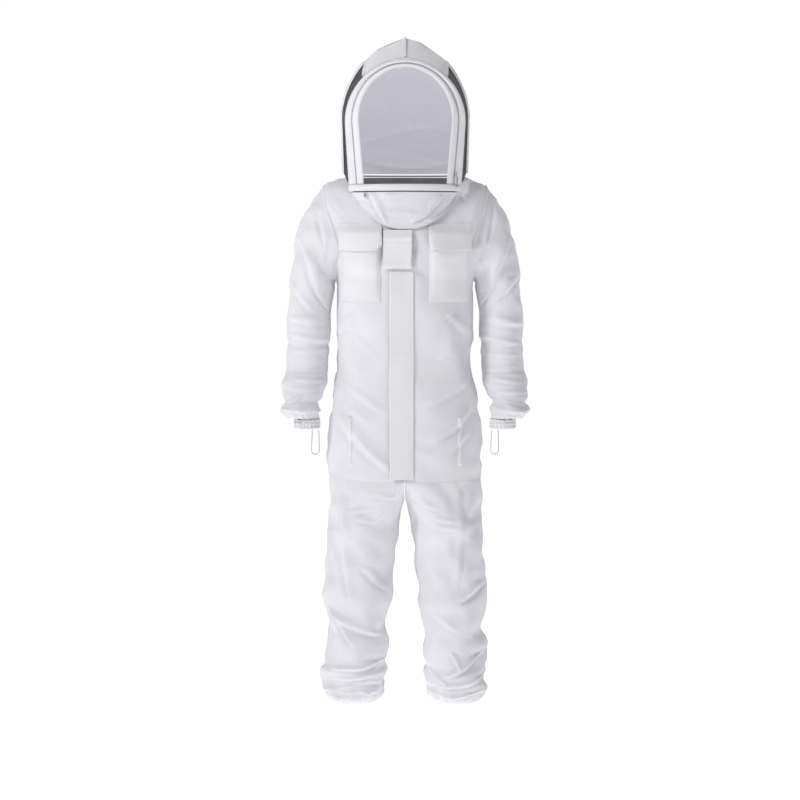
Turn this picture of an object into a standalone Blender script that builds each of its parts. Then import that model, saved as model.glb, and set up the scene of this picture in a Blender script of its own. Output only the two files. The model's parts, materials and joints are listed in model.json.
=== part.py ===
"""A full-length beekeeping suit with a fencing veil hood, in the shape it has when it is worn.

Run with: blender --background --python part.py
Metres, +Z up. The suit faces -Y, and +X is the wearer's left. The origin is the centre of the neck
opening, where the wearer's shoulders carry the suit. Heights in this file are above the trouser hems.
"""

import math

import bmesh
import bpy
from mathutils import Vector
from mathutils.bvhtree import BVHTree

# ---- driving dimensions ----------------------------------------------------------------------------
NECK_HEIGHT = 1.400  # height of the neck opening, the origin, above the hems
CLOTH = 0.0016  # thickness of every cloth wall
NET = 0.0010  # thickness of the nets
GAP = 0.0006  # clearance kept between neighbouring pieces
SIDES = (("left", 1), ("right", -1))  # the wearer's sides

# Torso sections: side x, side height, front y, front height, back y, back height
TORSO = (
    (0.152, 1.425, -0.136, 1.300, 0.112, 1.428),
    (0.188, 1.416, -0.140, 1.268, 0.120, 1.385),
    (0.220, 1.396, -0.141, 1.235, 0.124, 1.340),
    (0.220, 1.320, -0.141, 1.205, 0.125, 1.285),
    (0.206, 1.235, -0.140, 1.175, 0.124, 1.220),
    (0.184, 1.150, -0.139, 1.135, 0.121, 1.145),
    (0.182, 1.040, -0.1370, 1.040, 0.115, 1.040),
    (0.178, 0.930, -0.1345, 0.930, 0.109, 0.930),
    (0.190, 0.830, -0.1325, 0.830, 0.118, 0.830),
    (0.205, 0.740, -0.1305, 0.740, 0.133, 0.740),
    (0.208, 0.670, -0.1290, 0.670, 0.138, 0.670),
    (0.206, 0.620, -0.1280, 0.620, 0.138, 0.620),
)
SQUARENESS = 0.85  # exponent of the torso's section, 1 for an ellipse
NECK_DROP = 1.6  # exponent that lowers the front of the upper sections
ARMHOLE = (1.8, 5.0, math.radians(38))  # first and last section it touches, half its opening

# Sleeve sections: centre x, centre y, centre height, half width in x, half depth in y
UPPER_SLEEVE = (
    (0.2485, -0.003, 1.200, 0.0595, 0.076),
    (0.2575, 0.001, 1.120, 0.0605, 0.070),
    (0.261, 0.004, 1.060, 0.058, 0.066),
)
FOREARM = (
    (0.266, 0.000, 0.930, 0.056, 0.062),
    (0.272, -0.018, 0.880, 0.054, 0.059),
    (0.279, -0.038, 0.830, 0.053, 0.056),
    (0.281, -0.048, 0.800, 0.051, 0.053),
    (0.272, -0.053, 0.784, 0.042, 0.044),
)
CUFF = (0.262, -0.055, 0.033, 0.755, 0.779)  # centre x, centre y, radius, bottom and top height
ARM_SLANT = 0.070  # how far the sleeve's top edge rises to each side of its centre

# Trouser leg sections: height, centre x, half width, front y, back y
LEG = (
    (0.500, 0.111, 0.0955, -0.118, 0.126),
    (0.420, 0.120, 0.0920, -0.108, 0.112),
    (0.330, 0.127, 0.0915, -0.101, 0.102),
    (0.240, 0.132, 0.0850, -0.096, 0.099),
    (0.150, 0.136, 0.0840, -0.091, 0.104),
    (0.070, 0.139, 0.0860, -0.088, 0.106),
    (0.022, 0.140, 0.0820, -0.082, 0.100),
    (0.004, 0.140, 0.0680, -0.066, 0.084),
)
CROTCH = 0.556
CENTRE_SEAM = 0.0010  # distance of each leg from the middle plane
HEM_ELASTIC = (0.140, 0.009, 0.056, 0.003, 0.021)  # centre x, centre y, radius, bottom, top

# Hood arches, front to back: base x, y, height; spring x, y, height; crown y, height; squareness
ARCHES = (
    (0.1085, -0.118, 1.404, 0.122, -0.142, 1.565, -0.178, 1.697, 1.0),
    (0.127, -0.103, 1.404, 0.139, -0.126, 1.562, -0.180, 1.708, 1.0),
    (0.150, -0.072, 1.406, 0.159, -0.092, 1.562, -0.168, 1.722, 1.02),
    (0.162, -0.035, 1.431, 0.167, -0.033, 1.580, -0.060, 1.778, 1.12),
    (0.164, -0.024, 1.433, 0.169, -0.014, 1.583, -0.040, 1.784, 1.12),
    (0.162, 0.025, 1.436, 0.172, 0.052, 1.580, 0.040, 1.778, 1.12),
)
ARCH_LEG = 0.28  # share of an arch's parameter on each straight leg
CROWN_FROM = 0.395  # where along an arch the crown panel starts
NAPE = (0.122, 1.438)  # y and height of the hood's fold line
HOOD_BACK = ((0.122, 1.438), (0.152, 1.530), (0.158, 1.620), (0.125, 1.720), (0.040, 1.778))
VEIL_BULGE = 0.036
CHIN = (0.157, -0.040, 0.112)  # half width, centre y and depth of the chin band's curve
CHIN_BAND = (1.385, 1.4025)  # bottom and top height

# Front closure
ZIP_X = -0.010
ZIP_HALF = 0.012
PLACKET = (-0.0405, 0.0220, 0.626, 1.176)  # free edge x, sewn edge x, bottom and top height
THROAT_TAB = (-0.057, 0.019, 1.184, 1.283)  # right and left edge x, bottom and top height
SLIDER = Vector((0.009, 0.0028, 0.016))
PULL = Vector((0.006, 0.0014, 0.026))

# Pockets: inner and outer x, bottom and top height
PATCH_LIFT = 0.0036  # of a sewn-on piece's outer face off the torso's smooth surface
CHEST_POCKET = (0.063, 0.168, 1.095, 1.240)
CHEST_FLAP = (0.0600, 0.174, 1.232, 1.300)
HIP_WELT = (0.140, 0.152, 0.660, 0.790)
THUMB_LOOP = (0.0095, 0.066, 0.010)  # half width, drop, band width


# ---- small helpers ---------------------------------------------------------------------------------
def at(x, y, height):
    return Vector((x, y, height - NECK_HEIGHT))


def mirrored(points, side):
    return [Vector((p.x * side, p.y, p.z)) for p in points]


def power(value, exponent):
    return math.copysign(abs(value) ** exponent, value)


def spread(first, last, count):
    return [first + (last - first) * i / (count - 1) for i in range(count)]


def between(table, place):
    """A row of the table at a fractional place, on a smooth curve through its rows."""
    last = len(table) - 1
    index = min(max(int(math.floor(place)), 0), last - 1)
    f = place - index
    rows = [table[min(max(index + step, 0), last)] for step in (-1, 0, 1, 2)]
    weights = (
        (-f + 2 * f**2 - f**3) / 2,
        (2 - 5 * f**2 + 3 * f**3) / 2,
        (f + 4 * f**2 - 3 * f**3) / 2,
        (-(f**2) + f**3) / 2,
    )
    return [sum(w * v for w, v in zip(weights, column)) for column in zip(*rows)]


# ---- scene -----------------------------------------------------------------------------------------
def empty_scene():
    for thing in list(bpy.data.objects):
        bpy.data.objects.remove(thing, do_unlink=True)
    suit = bpy.data.collections.new("beekeeping_suit")
    bpy.context.scene.collection.children.link(suit)
    return suit


SUIT = empty_scene()
COLOURS = {
    "cotton": ((0.84, 0.84, 0.87, 1), 0.85, 0.0),
    "black_net": ((0.03, 0.03, 0.035, 1), 0.6, 0.0),
    "elastic": ((0.80, 0.77, 0.70, 1), 0.8, 0.0),
    "zip_metal": ((0.55, 0.55, 0.57, 1), 0.3, 1.0),
    "zip_tape": ((0.80, 0.80, 0.82, 1), 0.7, 0.0),
    "stay": ((0.75, 0.75, 0.76, 1), 0.4, 0.0),
}


def material_for(name, kind):
    colour, roughness, metallic = COLOURS[kind]
    material = bpy.data.materials.new(name)
    material.use_nodes = True
    shader = material.node_tree.nodes["Principled BSDF"]
    shader.inputs["Base Color"].default_value = colour
    shader.inputs["Roughness"].default_value = roughness
    shader.inputs["Metallic"].default_value = metallic
    material.diffuse_color = colour
    return material


def joint_empty(name, location):
    pivot = bpy.data.objects.new(name, None)
    pivot.empty_display_size = 0.03
    pivot.location = location
    SUIT.objects.link(pivot)
    return pivot


def add(name, mesh, kind, pivot=None):
    """Link a mesh whose points are in the suit's frame, as a child of its joint's empty."""
    thing = bpy.data.objects.new(name, mesh)
    mesh.materials.append(material_for(name, kind))
    SUIT.objects.link(thing)
    if pivot:
        mesh.transform(pivot.matrix_basis.inverted())
        thing.parent = pivot
    return thing


def grid_mesh(name, rows, closed, inside):
    """A grid of faces through rows of points, facing away from the point inside."""
    mesh = bpy.data.meshes.new(name)
    shape = bmesh.new()
    grid = [[shape.verts.new(p) for p in row] for row in rows]
    count = len(rows[0])
    for upper, lower in zip(grid, grid[1:]):
        for j in range(count if closed else count - 1):
            k = (j + 1) % count
            shape.faces.new((upper[j], upper[k], lower[k], lower[j]))
    shape.normal_update()
    if sum(f.normal.dot(f.calc_center_median() - inside) for f in shape.faces) < 0:
        bmesh.ops.reverse_faces(shape, faces=shape.faces)
    shape.to_mesh(mesh)
    shape.free()
    return mesh


def sheet(name, rows, kind, inside, pivot=None, closed=False, thickness=CLOTH):
    """A cloth wall: the rows are its outer face, and its thickness goes inwards."""
    thing = add(name, grid_mesh(name, rows, closed, inside), kind, pivot)
    solid = thing.modifiers.new("thickness", "SOLIDIFY")
    solid.thickness = thickness
    solid.offset = -1
    solid.use_even_offset = False
    thing.data.shade_smooth()
    return thing


def block(name, centre, size, kind, pivot=None, bevel=0.0006):
    """A small metal piece: a box with rounded edges."""
    shape = bmesh.new()
    bmesh.ops.create_cube(shape, size=1)
    bmesh.ops.scale(shape, verts=shape.verts, vec=size)
    bmesh.ops.translate(shape, verts=shape.verts, vec=centre)
    mesh = bpy.data.meshes.new(name)
    shape.to_mesh(mesh)
    shape.free()
    thing = add(name, mesh, kind, pivot)
    rounding = thing.modifiers.new("rounded edges", "BEVEL")
    rounding.width = bevel
    rounding.segments = 1
    return thing


def hoop(name, points, radius, pivot):
    """A springy stay: a round wire along the points."""
    curve = bpy.data.curves.new(name, "CURVE")
    curve.dimensions = "3D"
    curve.bevel_depth = radius
    curve.bevel_resolution = 1
    curve.use_fill_caps = True
    spline = curve.splines.new("POLY")
    spline.points.add(len(points) - 1)
    for point, place in zip(spline.points, points):
        point.co = (*(place - pivot.location), 1)
    thing = bpy.data.objects.new(name, curve)
    curve.materials.append(material_for(name, "stay"))
    SUIT.objects.link(thing)
    thing.parent = pivot
    return thing


# ---- the torso's surface ---------------------------------------------------------------------------
def torso_point(place, turn):
    """place counts the sections down from the neck; turn is 0 at the side, -90 degrees in front."""
    side_x, side_h, front_y, front_h, back_y, back_h = between(TORSO, place)
    c, s = math.cos(turn), math.sin(turn)
    depth, level = (-front_y, front_h) if s < 0 else (back_y, back_h)
    height = side_h + (level - side_h) * abs(s) ** NECK_DROP
    return at(side_x * power(c, SQUARENESS), depth * power(s, SQUARENESS), height)


def front_turn(place, x):
    """The turn at which the torso's front stands at x."""
    share = x / between(TORSO, place)[0]
    return -math.acos(power(share, 1 / SQUARENESS))


def armhole(place):
    """Half the angle that the armhole takes out of the side at a section."""
    first, last, widest = ARMHOLE
    share = (place - first) / (last - first)
    return widest * math.sin(math.pi * share) ** 0.7 if 0 < share < 1 else 0.0


def torso_surface():
    """The whole torso as one closed-up sheet, to lay pieces on."""
    turns = spread(-math.pi, math.pi, 97)
    rows = [[torso_point(p, t) for t in turns] for p in spread(0, len(TORSO) - 1, 89)]
    points = [p for row in rows for p in row]
    wide = len(turns)
    faces = [
        (i * wide + j, i * wide + j + 1, (i + 1) * wide + j + 1, (i + 1) * wide + j)
        for i in range(len(rows) - 1)
        for j in range(wide - 1)
    ]
    return BVHTree.FromPolygons(points, faces)


TORSO_TREE = torso_surface()


def on_front(x, height, lift):
    """The point of the torso's front at x and height, lifted off it."""
    start = at(x, -1.0, height)
    place, normal, _, _ = TORSO_TREE.ray_cast(start, Vector((0, 1, 0)))
    out = normal if normal.y < 0 else -normal
    return place + out * lift


def patch(x_from, x_to, h_from, h_to, lift, columns, rows):
    """Rows of points over a rectangle of the torso's front. lift may be a function of x and height."""
    rise = lift if callable(lift) else (lambda x, h: lift)
    return [
        [on_front(x, h, rise(x, h)) for x in spread(x_from, x_to, columns)]
        for h in spread(h_from, h_to, rows)
    ]


# ---- torso -----------------------------------------------------------------------------------------
def torso_panels():
    places = spread(0, len(TORSO) - 1, 19)
    middle = at(0, 0, 1.0)
    edge = math.radians(0.25)
    seam = ZIP_HALF + GAP

    def rows(first, last, columns):
        return [[torso_point(p, t) for t in spread(first(p), last(p), columns)] for p in places]

    sheet(
        "front_panel_left",
        rows(lambda p: front_turn(p, ZIP_X + seam), lambda p: -armhole(p) - edge, 9),
        "cotton",
        middle,
    )
    sheet(
        "front_panel_right",
        rows(lambda p: armhole(p) + edge - math.pi, lambda p: front_turn(p, ZIP_X - seam), 9),
        "cotton",
        middle,
    )
    sheet(
        "back_panel",
        rows(lambda p: armhole(p) + edge, lambda p: math.pi - armhole(p) - edge, 15),
        "cotton",
        middle,
    )
    for name, side in SIDES:
        near, far = ZIP_X + side * GAP / 2, ZIP_X + side * ZIP_HALF
        strip = [[torso_point(p, front_turn(p, x)) for x in (near, far)] for p in places]
        sheet(f"main_zip_{name}", strip, "zip_tape", middle)


def main_zip_slider():
    x, top = ZIP_X, PLACKET[3] - 0.022
    tall = SLIDER.z + PULL.z
    upper = on_front(x, top, 0.0026)
    lower = on_front(x, top - tall, 0.0026)
    pivot = joint_empty("main_zip_joint", upper)
    block("main_zip_slider", upper, SLIDER, "zip_metal", pivot)
    drop = (lower - upper).normalized()
    centre = upper + drop * (SLIDER.z / 2 + PULL.z / 2 + GAP)
    block("main_zip_pull", centre, PULL, "zip_metal", pivot)


def placket():
    free, sewn, low, high = PLACKET
    pivot = joint_empty("placket_joint", on_front(sewn, (low + high) / 2, 0.002))

    def lift(x, height):
        return 0.0040 + 0.0055 * (sewn - x) / (sewn - free)

    rows = patch(free, sewn, low, high, lift, 5, 14)
    sheet("placket_flap", rows, "cotton", at(0, 0, 0.9), pivot)


def chest_pockets():
    inner, outer, low, high = CHEST_POCKET
    flap_in, flap_out, flap_low, flap_high = CHEST_FLAP
    for name, side in SIDES:
        middle = at(0, 0, 1.2)

        def pouch(x, height):
            across = math.sin(math.pi * (abs(x) - inner) / (outer - inner))
            up = (height - low) / (high - low)
            return PATCH_LIFT + 0.010 * max(across, 0) ** 0.5 * min(up * 3, 1) ** 0.7

        rows = patch(side * inner, side * outer, low, high, pouch, 9, 8)
        sheet(f"chest_pocket_{name}", rows, "cotton", middle)
        edge = on_front(side * (flap_in + flap_out) / 2, flap_high, 0.016)
        pivot = joint_empty(f"pocket_flap_{name}_joint", edge)

        def over(x, height):
            return 0.019 - 0.013 * ((abs(x) - flap_in) / (flap_out - flap_in)) ** 4

        rows = patch(side * flap_in, side * flap_out, flap_low, flap_high - 0.004, over, 8, 5)
        sheet(f"pocket_flap_{name}", rows, "cotton", middle, pivot)


def hip_welts():
    inner, outer, low, high = HIP_WELT
    for name, side in SIDES:
        rows = patch(side * inner, side * outer, low, high, PATCH_LIFT, 3, 8)
        sheet(f"hip_pocket_welt_{name}", rows, "cotton", at(0, 0, 0.7))


# ---- sleeves ---------------------------------------------------------------------------------------
RING = 18  # points round a limb
RING_CLEARANCE = 0.0018


def ring_turns():
    return [2 * math.pi * i / RING for i in range(RING)]


def armhole_ring():
    """The armhole's edge on the wearer's left, turned the same way as a sleeve's ring."""
    first, last, _ = ARMHOLE
    middle, half = (first + last) / 2, (last - first) / 2
    ring = []
    for turn in ring_turns():
        place = middle - half * math.cos(turn) * 0.985
        front = math.sin(turn) < 0
        angle = armhole(place) - math.radians(1.2)
        point = torso_point(place, -angle if front else angle)
        ring.append(point + Vector((0.0035, 0, 0)))
    return ring


def sleeve_ring(section, slant=0.0):
    x, y, height, half_x, half_y = section
    ring = []
    for turn in ring_turns():
        c, s = math.cos(turn), math.sin(turn)
        ring.append(at(x + half_x * c, y + half_y * s, height + slant * c))
    return ring


def limb_rows(first, last, steps):
    """Rings between two rings, the end ones kept clear of their neighbours."""

    def step(a, b, share):
        clear = min(RING_CLEARANCE / (b - a).length, 0.3)
        return a.lerp(b, clear + (1 - 2 * clear) * share)

    return [[step(a, b, share) for a, b in zip(first, last)] for share in spread(0, 1, steps)]


def sleeves():
    top = sleeve_ring(UPPER_SLEEVE[0], ARM_SLANT)
    places = spread(0.0, len(UPPER_SLEEVE) - 1, 6)
    slants = [ARM_SLANT * (1 - p / places[-1]) ** 1.5 for p in places]
    upper = [sleeve_ring(between(UPPER_SLEEVE, p), s) for p, s in zip(places, slants)]
    lower = [sleeve_ring(between(FOREARM, p)) for p in spread(0, len(FOREARM) - 1, 9)]
    x, y, radius, low, high = CUFF
    cuff = [sleeve_ring((x, y, h, radius, radius)) for h in spread(high, low, 3)]
    for name, side in SIDES:
        inside = at(side * 0.26, 0, 1.0)
        shoulder = joint_empty(f"shoulder_{name}_joint", at(side * 0.185, 0, 1.325))
        elbow = joint_empty(f"elbow_{name}_joint", at(side * 0.262, 0.006, 0.985))

        def put(node, rows, kind, pivot):
            rows = [mirrored(row, side) for row in rows]
            sheet(f"{node}_{name}", rows, kind, inside, pivot, closed=True)

        put("sleeve_head", limb_rows(armhole_ring(), top, 4), "cotton", None)
        put("upper_sleeve", upper, "cotton", shoulder)
        put("elbow_fold", limb_rows(upper[-1], lower[0], 4), "cotton", shoulder)
        put("forearm_sleeve", lower, "cotton", elbow)
        put("cuff_elastic", cuff, "elastic", elbow)
        thumb_loop(name, side)


def thumb_loop(name, side):
    """A U of elastic hanging from the cuff's inner edge."""
    half, drop, width = THUMB_LOOP
    x, y, radius, low, _ = CUFF
    centre = at(side * (x - radius + half + 0.002), y, low - 0.0045)
    pivot = joint_empty(f"thumb_loop_{name}_joint", centre)
    arc = [math.pi * i / 10 for i in range(11)]
    straight = drop - half
    path = [Vector((half, 0, 0)), Vector((half, 0, -straight / 2))]
    path += [Vector((half * math.cos(a), 0, -straight - half * math.sin(a))) for a in arc]
    path += [Vector((-half, 0, -straight / 2)), Vector((-half, 0, 0))]
    rows = [[centre + p + Vector((0, w, 0)) for w in (-width / 2, width / 2)] for p in path]
    sheet(f"thumb_loop_{name}", rows, "elastic", centre + Vector((0, 0, -straight / 2)), pivot)


# ---- trousers --------------------------------------------------------------------------------------
def leg_ring(place):
    height, x, half, front_y, back_y = between(LEG, place)
    ring = []
    for turn in ring_turns():
        c, s = math.cos(turn), math.sin(turn)
        depth = -front_y if s < 0 else back_y
        ring.append(at(x + half * c, depth * power(s, 0.92), height))
    return ring


def seat_ring():
    """The torso's lower edge round one leg: its own side, then down through the crotch."""
    last = len(TORSO) - 1
    base = TORSO[last][1]
    ring = []
    for turn in ring_turns():
        c, s = math.cos(turn), math.sin(turn)
        if c > 1e-6:
            ring.append(torso_point(last, turn))
        else:
            depth = -TORSO[last][2] if s < 0 else TORSO[last][4]
            height = CROTCH + (base - CROTCH) * abs(s) ** 2
            ring.append(at(CENTRE_SEAM, depth * power(s, SQUARENESS), height))
    return [Vector((max(p.x, CENTRE_SEAM), p.y, p.z - 0.0005)) for p in ring]


def trousers():
    legs = [leg_ring(p) for p in spread(0, len(LEG) - 1, 15)]
    x, y, radius, low, high = HEM_ELASTIC
    hem = [sleeve_ring((x, y, h, radius, radius + 0.012)) for h in spread(high, low, 3)]
    for name, side in SIDES:
        pivot = joint_empty(f"hip_{name}_joint", at(side * 0.105, 0.016, 0.600))
        inside = at(side * 0.12, 0, 0.3)

        def put(node, rows, kind, owner):
            rows = [mirrored(row, side) for row in rows]
            sheet(f"{node}_{name}", rows, kind, inside, owner, closed=True)

        put("trouser_seat", limb_rows(seat_ring(), legs[0], 6), "cotton", None)
        put("trouser_leg", legs, "cotton", pivot)
        put("hem_elastic", hem, "elastic", pivot)


# ---- hood ------------------------------------------------------------------------------------------
HEAD = at(0, -0.02, 1.58)  # a point inside the hood


def hood_point(arch, along):
    """arch counts back from the face opening; along runs 0 to 1 over the head, from the left."""
    bx, by, bh, sx, sy, sh, cy, ch, square = between(ARCHES, arch)
    near = min(along, 1 - along)
    hand = 1 if along <= 0.5 else -1
    if near < ARCH_LEG:
        f = near / ARCH_LEG
        return at(hand * (bx + (sx - bx) * f), by + (sy - by) * f, bh + (sh - bh) * f)
    angle = (near - ARCH_LEG) / (0.5 - ARCH_LEG) * math.pi / 2
    out, up = math.cos(angle) ** square, math.sin(angle) ** square
    return at(hand * sx * out, sy + (cy - sy) * up, sh + (ch - sh) * up)


def hood_strip(arch_from, arch_to, along_from, along_to, columns, rows):
    return [
        [hood_point(a, t) for t in spread(along_from, along_to, columns)]
        for a in spread(arch_from, arch_to, rows)
    ]


def hood_back_rows():
    """Level bands from the last arch round the back of the head."""
    last = len(ARCHES) - 1
    rows = []
    for near in spread(0.0, 0.488, 13):
        edge = hood_point(last + 0.02, near)
        y, height = between(HOOD_BACK, near / 0.5 * (len(HOOD_BACK) - 1))
        row = []
        for angle in spread(0, math.pi, 19):
            c, s = math.cos(angle), math.sin(angle)
            level = edge.z + (height - NECK_HEIGHT - edge.z) * s
            row.append(Vector((edge.x * c, edge.y + (y - edge.y) * s, level)))
        rows.append(row)
    return rows


def chin_point(angle, height):
    half, centre_y, depth = CHIN
    return at(half * math.cos(angle), centre_y - depth * math.sin(angle), height)


def throat_panel_rows():
    """From under the chin band down onto the chest, in a rounded bib."""
    rows = []
    angles = [math.radians(a) for a in spread(27, 153, 17)]
    for f in spread(0, 1, 6):
        row = []
        for angle in angles:
            top = chin_point(angle, CHIN_BAND[0] - 0.0035)
            neck = torso_point(0.0, -angle)
            x, height = neck.x, neck.z + NECK_HEIGHT - 0.014 * math.sin(angle)
            foot = on_front(x, height, 0.0050)
            row.append(top.lerp(foot, f))
        rows.append(row)
    return rows


def neck_band_rows():
    """The hood's lower edge from the end of the chin band round the nape, and the zip below it."""
    rows = []
    for f in (0.0, 1.0):
        row = []
        for turn in spread(math.radians(-14), math.radians(194), 27):
            c, s = math.cos(turn), math.sin(turn)
            upper = at(0.158 * power(c, 0.9), 0.119 * s if s > 0 else 0.15 * s, 1.4335)
            lower = torso_point(0.0, turn) + Vector((-0.003 * c, -0.003 * s, 0.0030))
            row.append(upper.lerp(lower, f))
        rows.append(row)
    return rows


def hood_shell():
    nape = joint_empty("hood_joint", at(0, *NAPE))
    clear = 0.025

    def strip(name, arches, along, columns, rows, kind="cotton", thickness=CLOTH):
        points = hood_strip(*arches, *along, columns, rows)
        sheet(name, points, kind, HEAD, nape, thickness=thickness)

    strip("front_hoop_channel", (1 + clear * 2, 2 - clear), (0, 1), 37, 3)
    for name, side in SIDES:
        edge = 0.0025
        side_span = (edge, CROWN_FROM - edge) if side > 0 else (1 - CROWN_FROM + edge, 1 - edge)
        top_span = (CROWN_FROM, 0.4985) if side > 0 else (0.5015, 1 - CROWN_FROM)
        strip(f"side_net_front_{name}", (2 + clear, 3 - clear), side_span, 14, 4, "black_net", NET)
        strip(f"rear_hoop_channel_{name}", (3, 4 - clear), side_span, 14, 2)
        strip(f"side_net_rear_{name}", (4, 5 - clear), side_span, 14, 4, "black_net", NET)
        strip(f"crown_{name}", (2, 5 - clear), top_span, 8, 8)
    sheet("hood_back", hood_back_rows(), "cotton", HEAD, nape)
    band = [[chin_point(math.radians(a), h) for a in spread(20, 160, 21)] for h in CHIN_BAND]
    sheet("chin_band", band, "cotton", HEAD, nape)
    sheet("throat_panel", throat_panel_rows(), "cotton", HEAD, nape)
    sheet("neck_band", neck_band_rows(), "cotton", HEAD + Vector((0, 0, -0.1)), nape)
    for name, arch in (("front_hoop_stay", 1.5), ("rear_hoop_stay", 3.5)):
        spots = spread(0.03, 0.97, 41)
        points = [hood_point(arch, t) for t in spots]
        points = [p + (HEAD - p).normalized() * 0.0065 for p in points]
        hoop(name, points, 0.0020, nape)
    return nape


def veil():
    pivot = joint_empty("veil_joint", at(0, -0.153, 1.404))
    band = hood_strip(0, 1 - 0.025, 0, 1, 37, 2)
    sheet("veil_band", band, "cotton", HEAD, pivot)
    rows = []
    for near in spread(0.0, 0.484, 14):
        edge = hood_point(0.0, near)
        edge = edge.lerp(at(0, edge.y, 1.56), 0.014)
        row = []
        for f in spread(-1, 1, 11):
            bulge = VEIL_BULGE * (1 - f * f) * math.cos(math.pi / 2 * (near / 0.5) ** 2)
            row.append(Vector((edge.x * f, edge.y - bulge, edge.z)))
        rows.append(row)
    sheet("face_net", rows, "black_net", HEAD, pivot, thickness=NET)


def veil_zip():
    """The slider parked at the left foot of the veil's zip, and its pull tab."""
    low, high = hood_point(1.02, 0.015), hood_point(1.02, ARCH_LEG)
    along = (high - low).normalized()
    out = Vector((0.72, -0.69, 0)).normalized()
    centre = low + along * 0.016 + out * 0.0048
    pivot = joint_empty("veil_zip_joint", centre)
    block("veil_zip_slider", centre, Vector((0.007, 0.003, 0.013)), "zip_metal", pivot)
    hang = joint_empty("veil_pull_joint", centre + out * 0.0040 + Vector((0, 0, -0.004)))
    tab = hang.location + Vector((0, 0, -0.0155))
    block("veil_zip_pull", tab, Vector((0.006, 0.0016, 0.027)), "zip_metal", hang)


def throat_tab():
    right, left, low, high = THROAT_TAB
    lift = 0.0150
    pivot = joint_empty("throat_tab_joint", on_front((right + left) / 2, high, lift))
    rows = patch(right, left, low, high - 0.002, lift, 6, 8)
    sheet("throat_tab", rows, "cotton", at(0, 0, 1.2), pivot)


def neck_zip_slider():
    """It runs under the chin band; the joint's axis stands at the band's local centre of curvature."""
    angle = math.radians(180 - 49.2)
    half, centre_y, depth = CHIN
    c, s = math.cos(angle), math.sin(angle)
    outward = Vector((c / half, -s / depth, 0)).normalized()
    radius = ((half * s) ** 2 + (depth * c) ** 2) ** 1.5 / (half * depth)
    spot = chin_point(angle, CHIN_BAND[0] - 0.011)
    pivot = joint_empty("neck_zip_joint", spot - outward * radius)
    block("neck_zip_slider", spot + outward * 0.004, Vector((0.008, 0.003, 0.012)), "zip_metal", pivot)


torso_panels()
main_zip_slider()
placket()
chest_pockets()
hip_welts()
sleeves()
trousers()
hood_shell()
veil()
veil_zip()
throat_tab()
neck_zip_slider()
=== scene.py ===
"""Looks of the beekeeping suit: crumpled cotton, nets, zips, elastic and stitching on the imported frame."""

import json
import math

import bpy
import numpy as np
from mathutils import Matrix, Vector
from mathutils.bvhtree import BVHTree

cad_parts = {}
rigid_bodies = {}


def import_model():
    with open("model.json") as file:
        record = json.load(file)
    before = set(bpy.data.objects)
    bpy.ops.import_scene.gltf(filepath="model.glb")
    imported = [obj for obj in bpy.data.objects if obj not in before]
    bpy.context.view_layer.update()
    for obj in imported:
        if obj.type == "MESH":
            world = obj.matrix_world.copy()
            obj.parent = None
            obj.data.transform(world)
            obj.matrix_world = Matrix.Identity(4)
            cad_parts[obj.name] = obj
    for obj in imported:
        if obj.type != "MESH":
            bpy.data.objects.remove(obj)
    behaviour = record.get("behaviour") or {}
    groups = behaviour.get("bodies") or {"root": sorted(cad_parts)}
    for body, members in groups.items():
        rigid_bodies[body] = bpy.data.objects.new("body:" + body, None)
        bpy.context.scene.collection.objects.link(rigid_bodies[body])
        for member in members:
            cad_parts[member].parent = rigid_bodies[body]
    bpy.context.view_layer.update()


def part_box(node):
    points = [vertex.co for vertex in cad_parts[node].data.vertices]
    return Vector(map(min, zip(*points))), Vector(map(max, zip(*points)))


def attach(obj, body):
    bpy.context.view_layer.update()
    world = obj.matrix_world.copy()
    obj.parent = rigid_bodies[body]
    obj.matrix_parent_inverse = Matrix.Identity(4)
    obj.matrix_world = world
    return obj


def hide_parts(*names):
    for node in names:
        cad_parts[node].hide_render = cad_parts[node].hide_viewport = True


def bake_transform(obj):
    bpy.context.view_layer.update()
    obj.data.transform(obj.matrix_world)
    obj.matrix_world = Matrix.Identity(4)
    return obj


for thing in list(bpy.data.objects):
    bpy.data.objects.remove(thing, do_unlink=True)
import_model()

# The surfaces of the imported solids, in metres. Heights are above the hems.
NECK = 0.003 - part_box("hem_elastic_left")[0].z
SIDES = (("left", 1), ("right", -1))
CLOTH = 0.0009
TORSO = (
    (0.152, 1.425, -0.136, 1.300, 0.112, 1.428),
    (0.188, 1.416, -0.140, 1.268, 0.120, 1.385),
    (0.220, 1.396, -0.141, 1.235, 0.124, 1.340),
    (0.220, 1.320, -0.141, 1.205, 0.125, 1.285),
    (0.206, 1.235, -0.140, 1.175, 0.124, 1.220),
    (0.184, 1.150, -0.139, 1.135, 0.121, 1.145),
    (0.182, 1.040, -0.137, 1.040, 0.115, 1.040),
    (0.178, 0.930, -0.1345, 0.930, 0.109, 0.930),
    (0.190, 0.830, -0.1325, 0.830, 0.118, 0.830),
    (0.205, 0.740, -0.1305, 0.740, 0.133, 0.740),
    (0.208, 0.670, -0.129, 0.670, 0.138, 0.670),
    (0.206, 0.620, -0.128, 0.620, 0.138, 0.620),
)
SQUARENESS, NECK_DROP = 0.85, 1.6
ARMHOLE = (1.8, 5.0, math.radians(38))
UPPER_SLEEVE = (
    (0.2485, -0.003, 1.200, 0.0595, 0.076),
    (0.2575, 0.001, 1.120, 0.0605, 0.070),
    (0.261, 0.004, 1.060, 0.058, 0.066),
)
ARM_SLANT = 0.070
FOREARM = (
    (0.266, 0.000, 0.930, 0.056, 0.062),
    (0.272, -0.018, 0.880, 0.054, 0.059),
    (0.279, -0.038, 0.830, 0.053, 0.056),
    (0.281, -0.048, 0.800, 0.051, 0.053),
    (0.272, -0.053, 0.784, 0.042, 0.044),
)
CUFF = (0.262, -0.055, 0.033, 0.755, 0.779)
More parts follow.
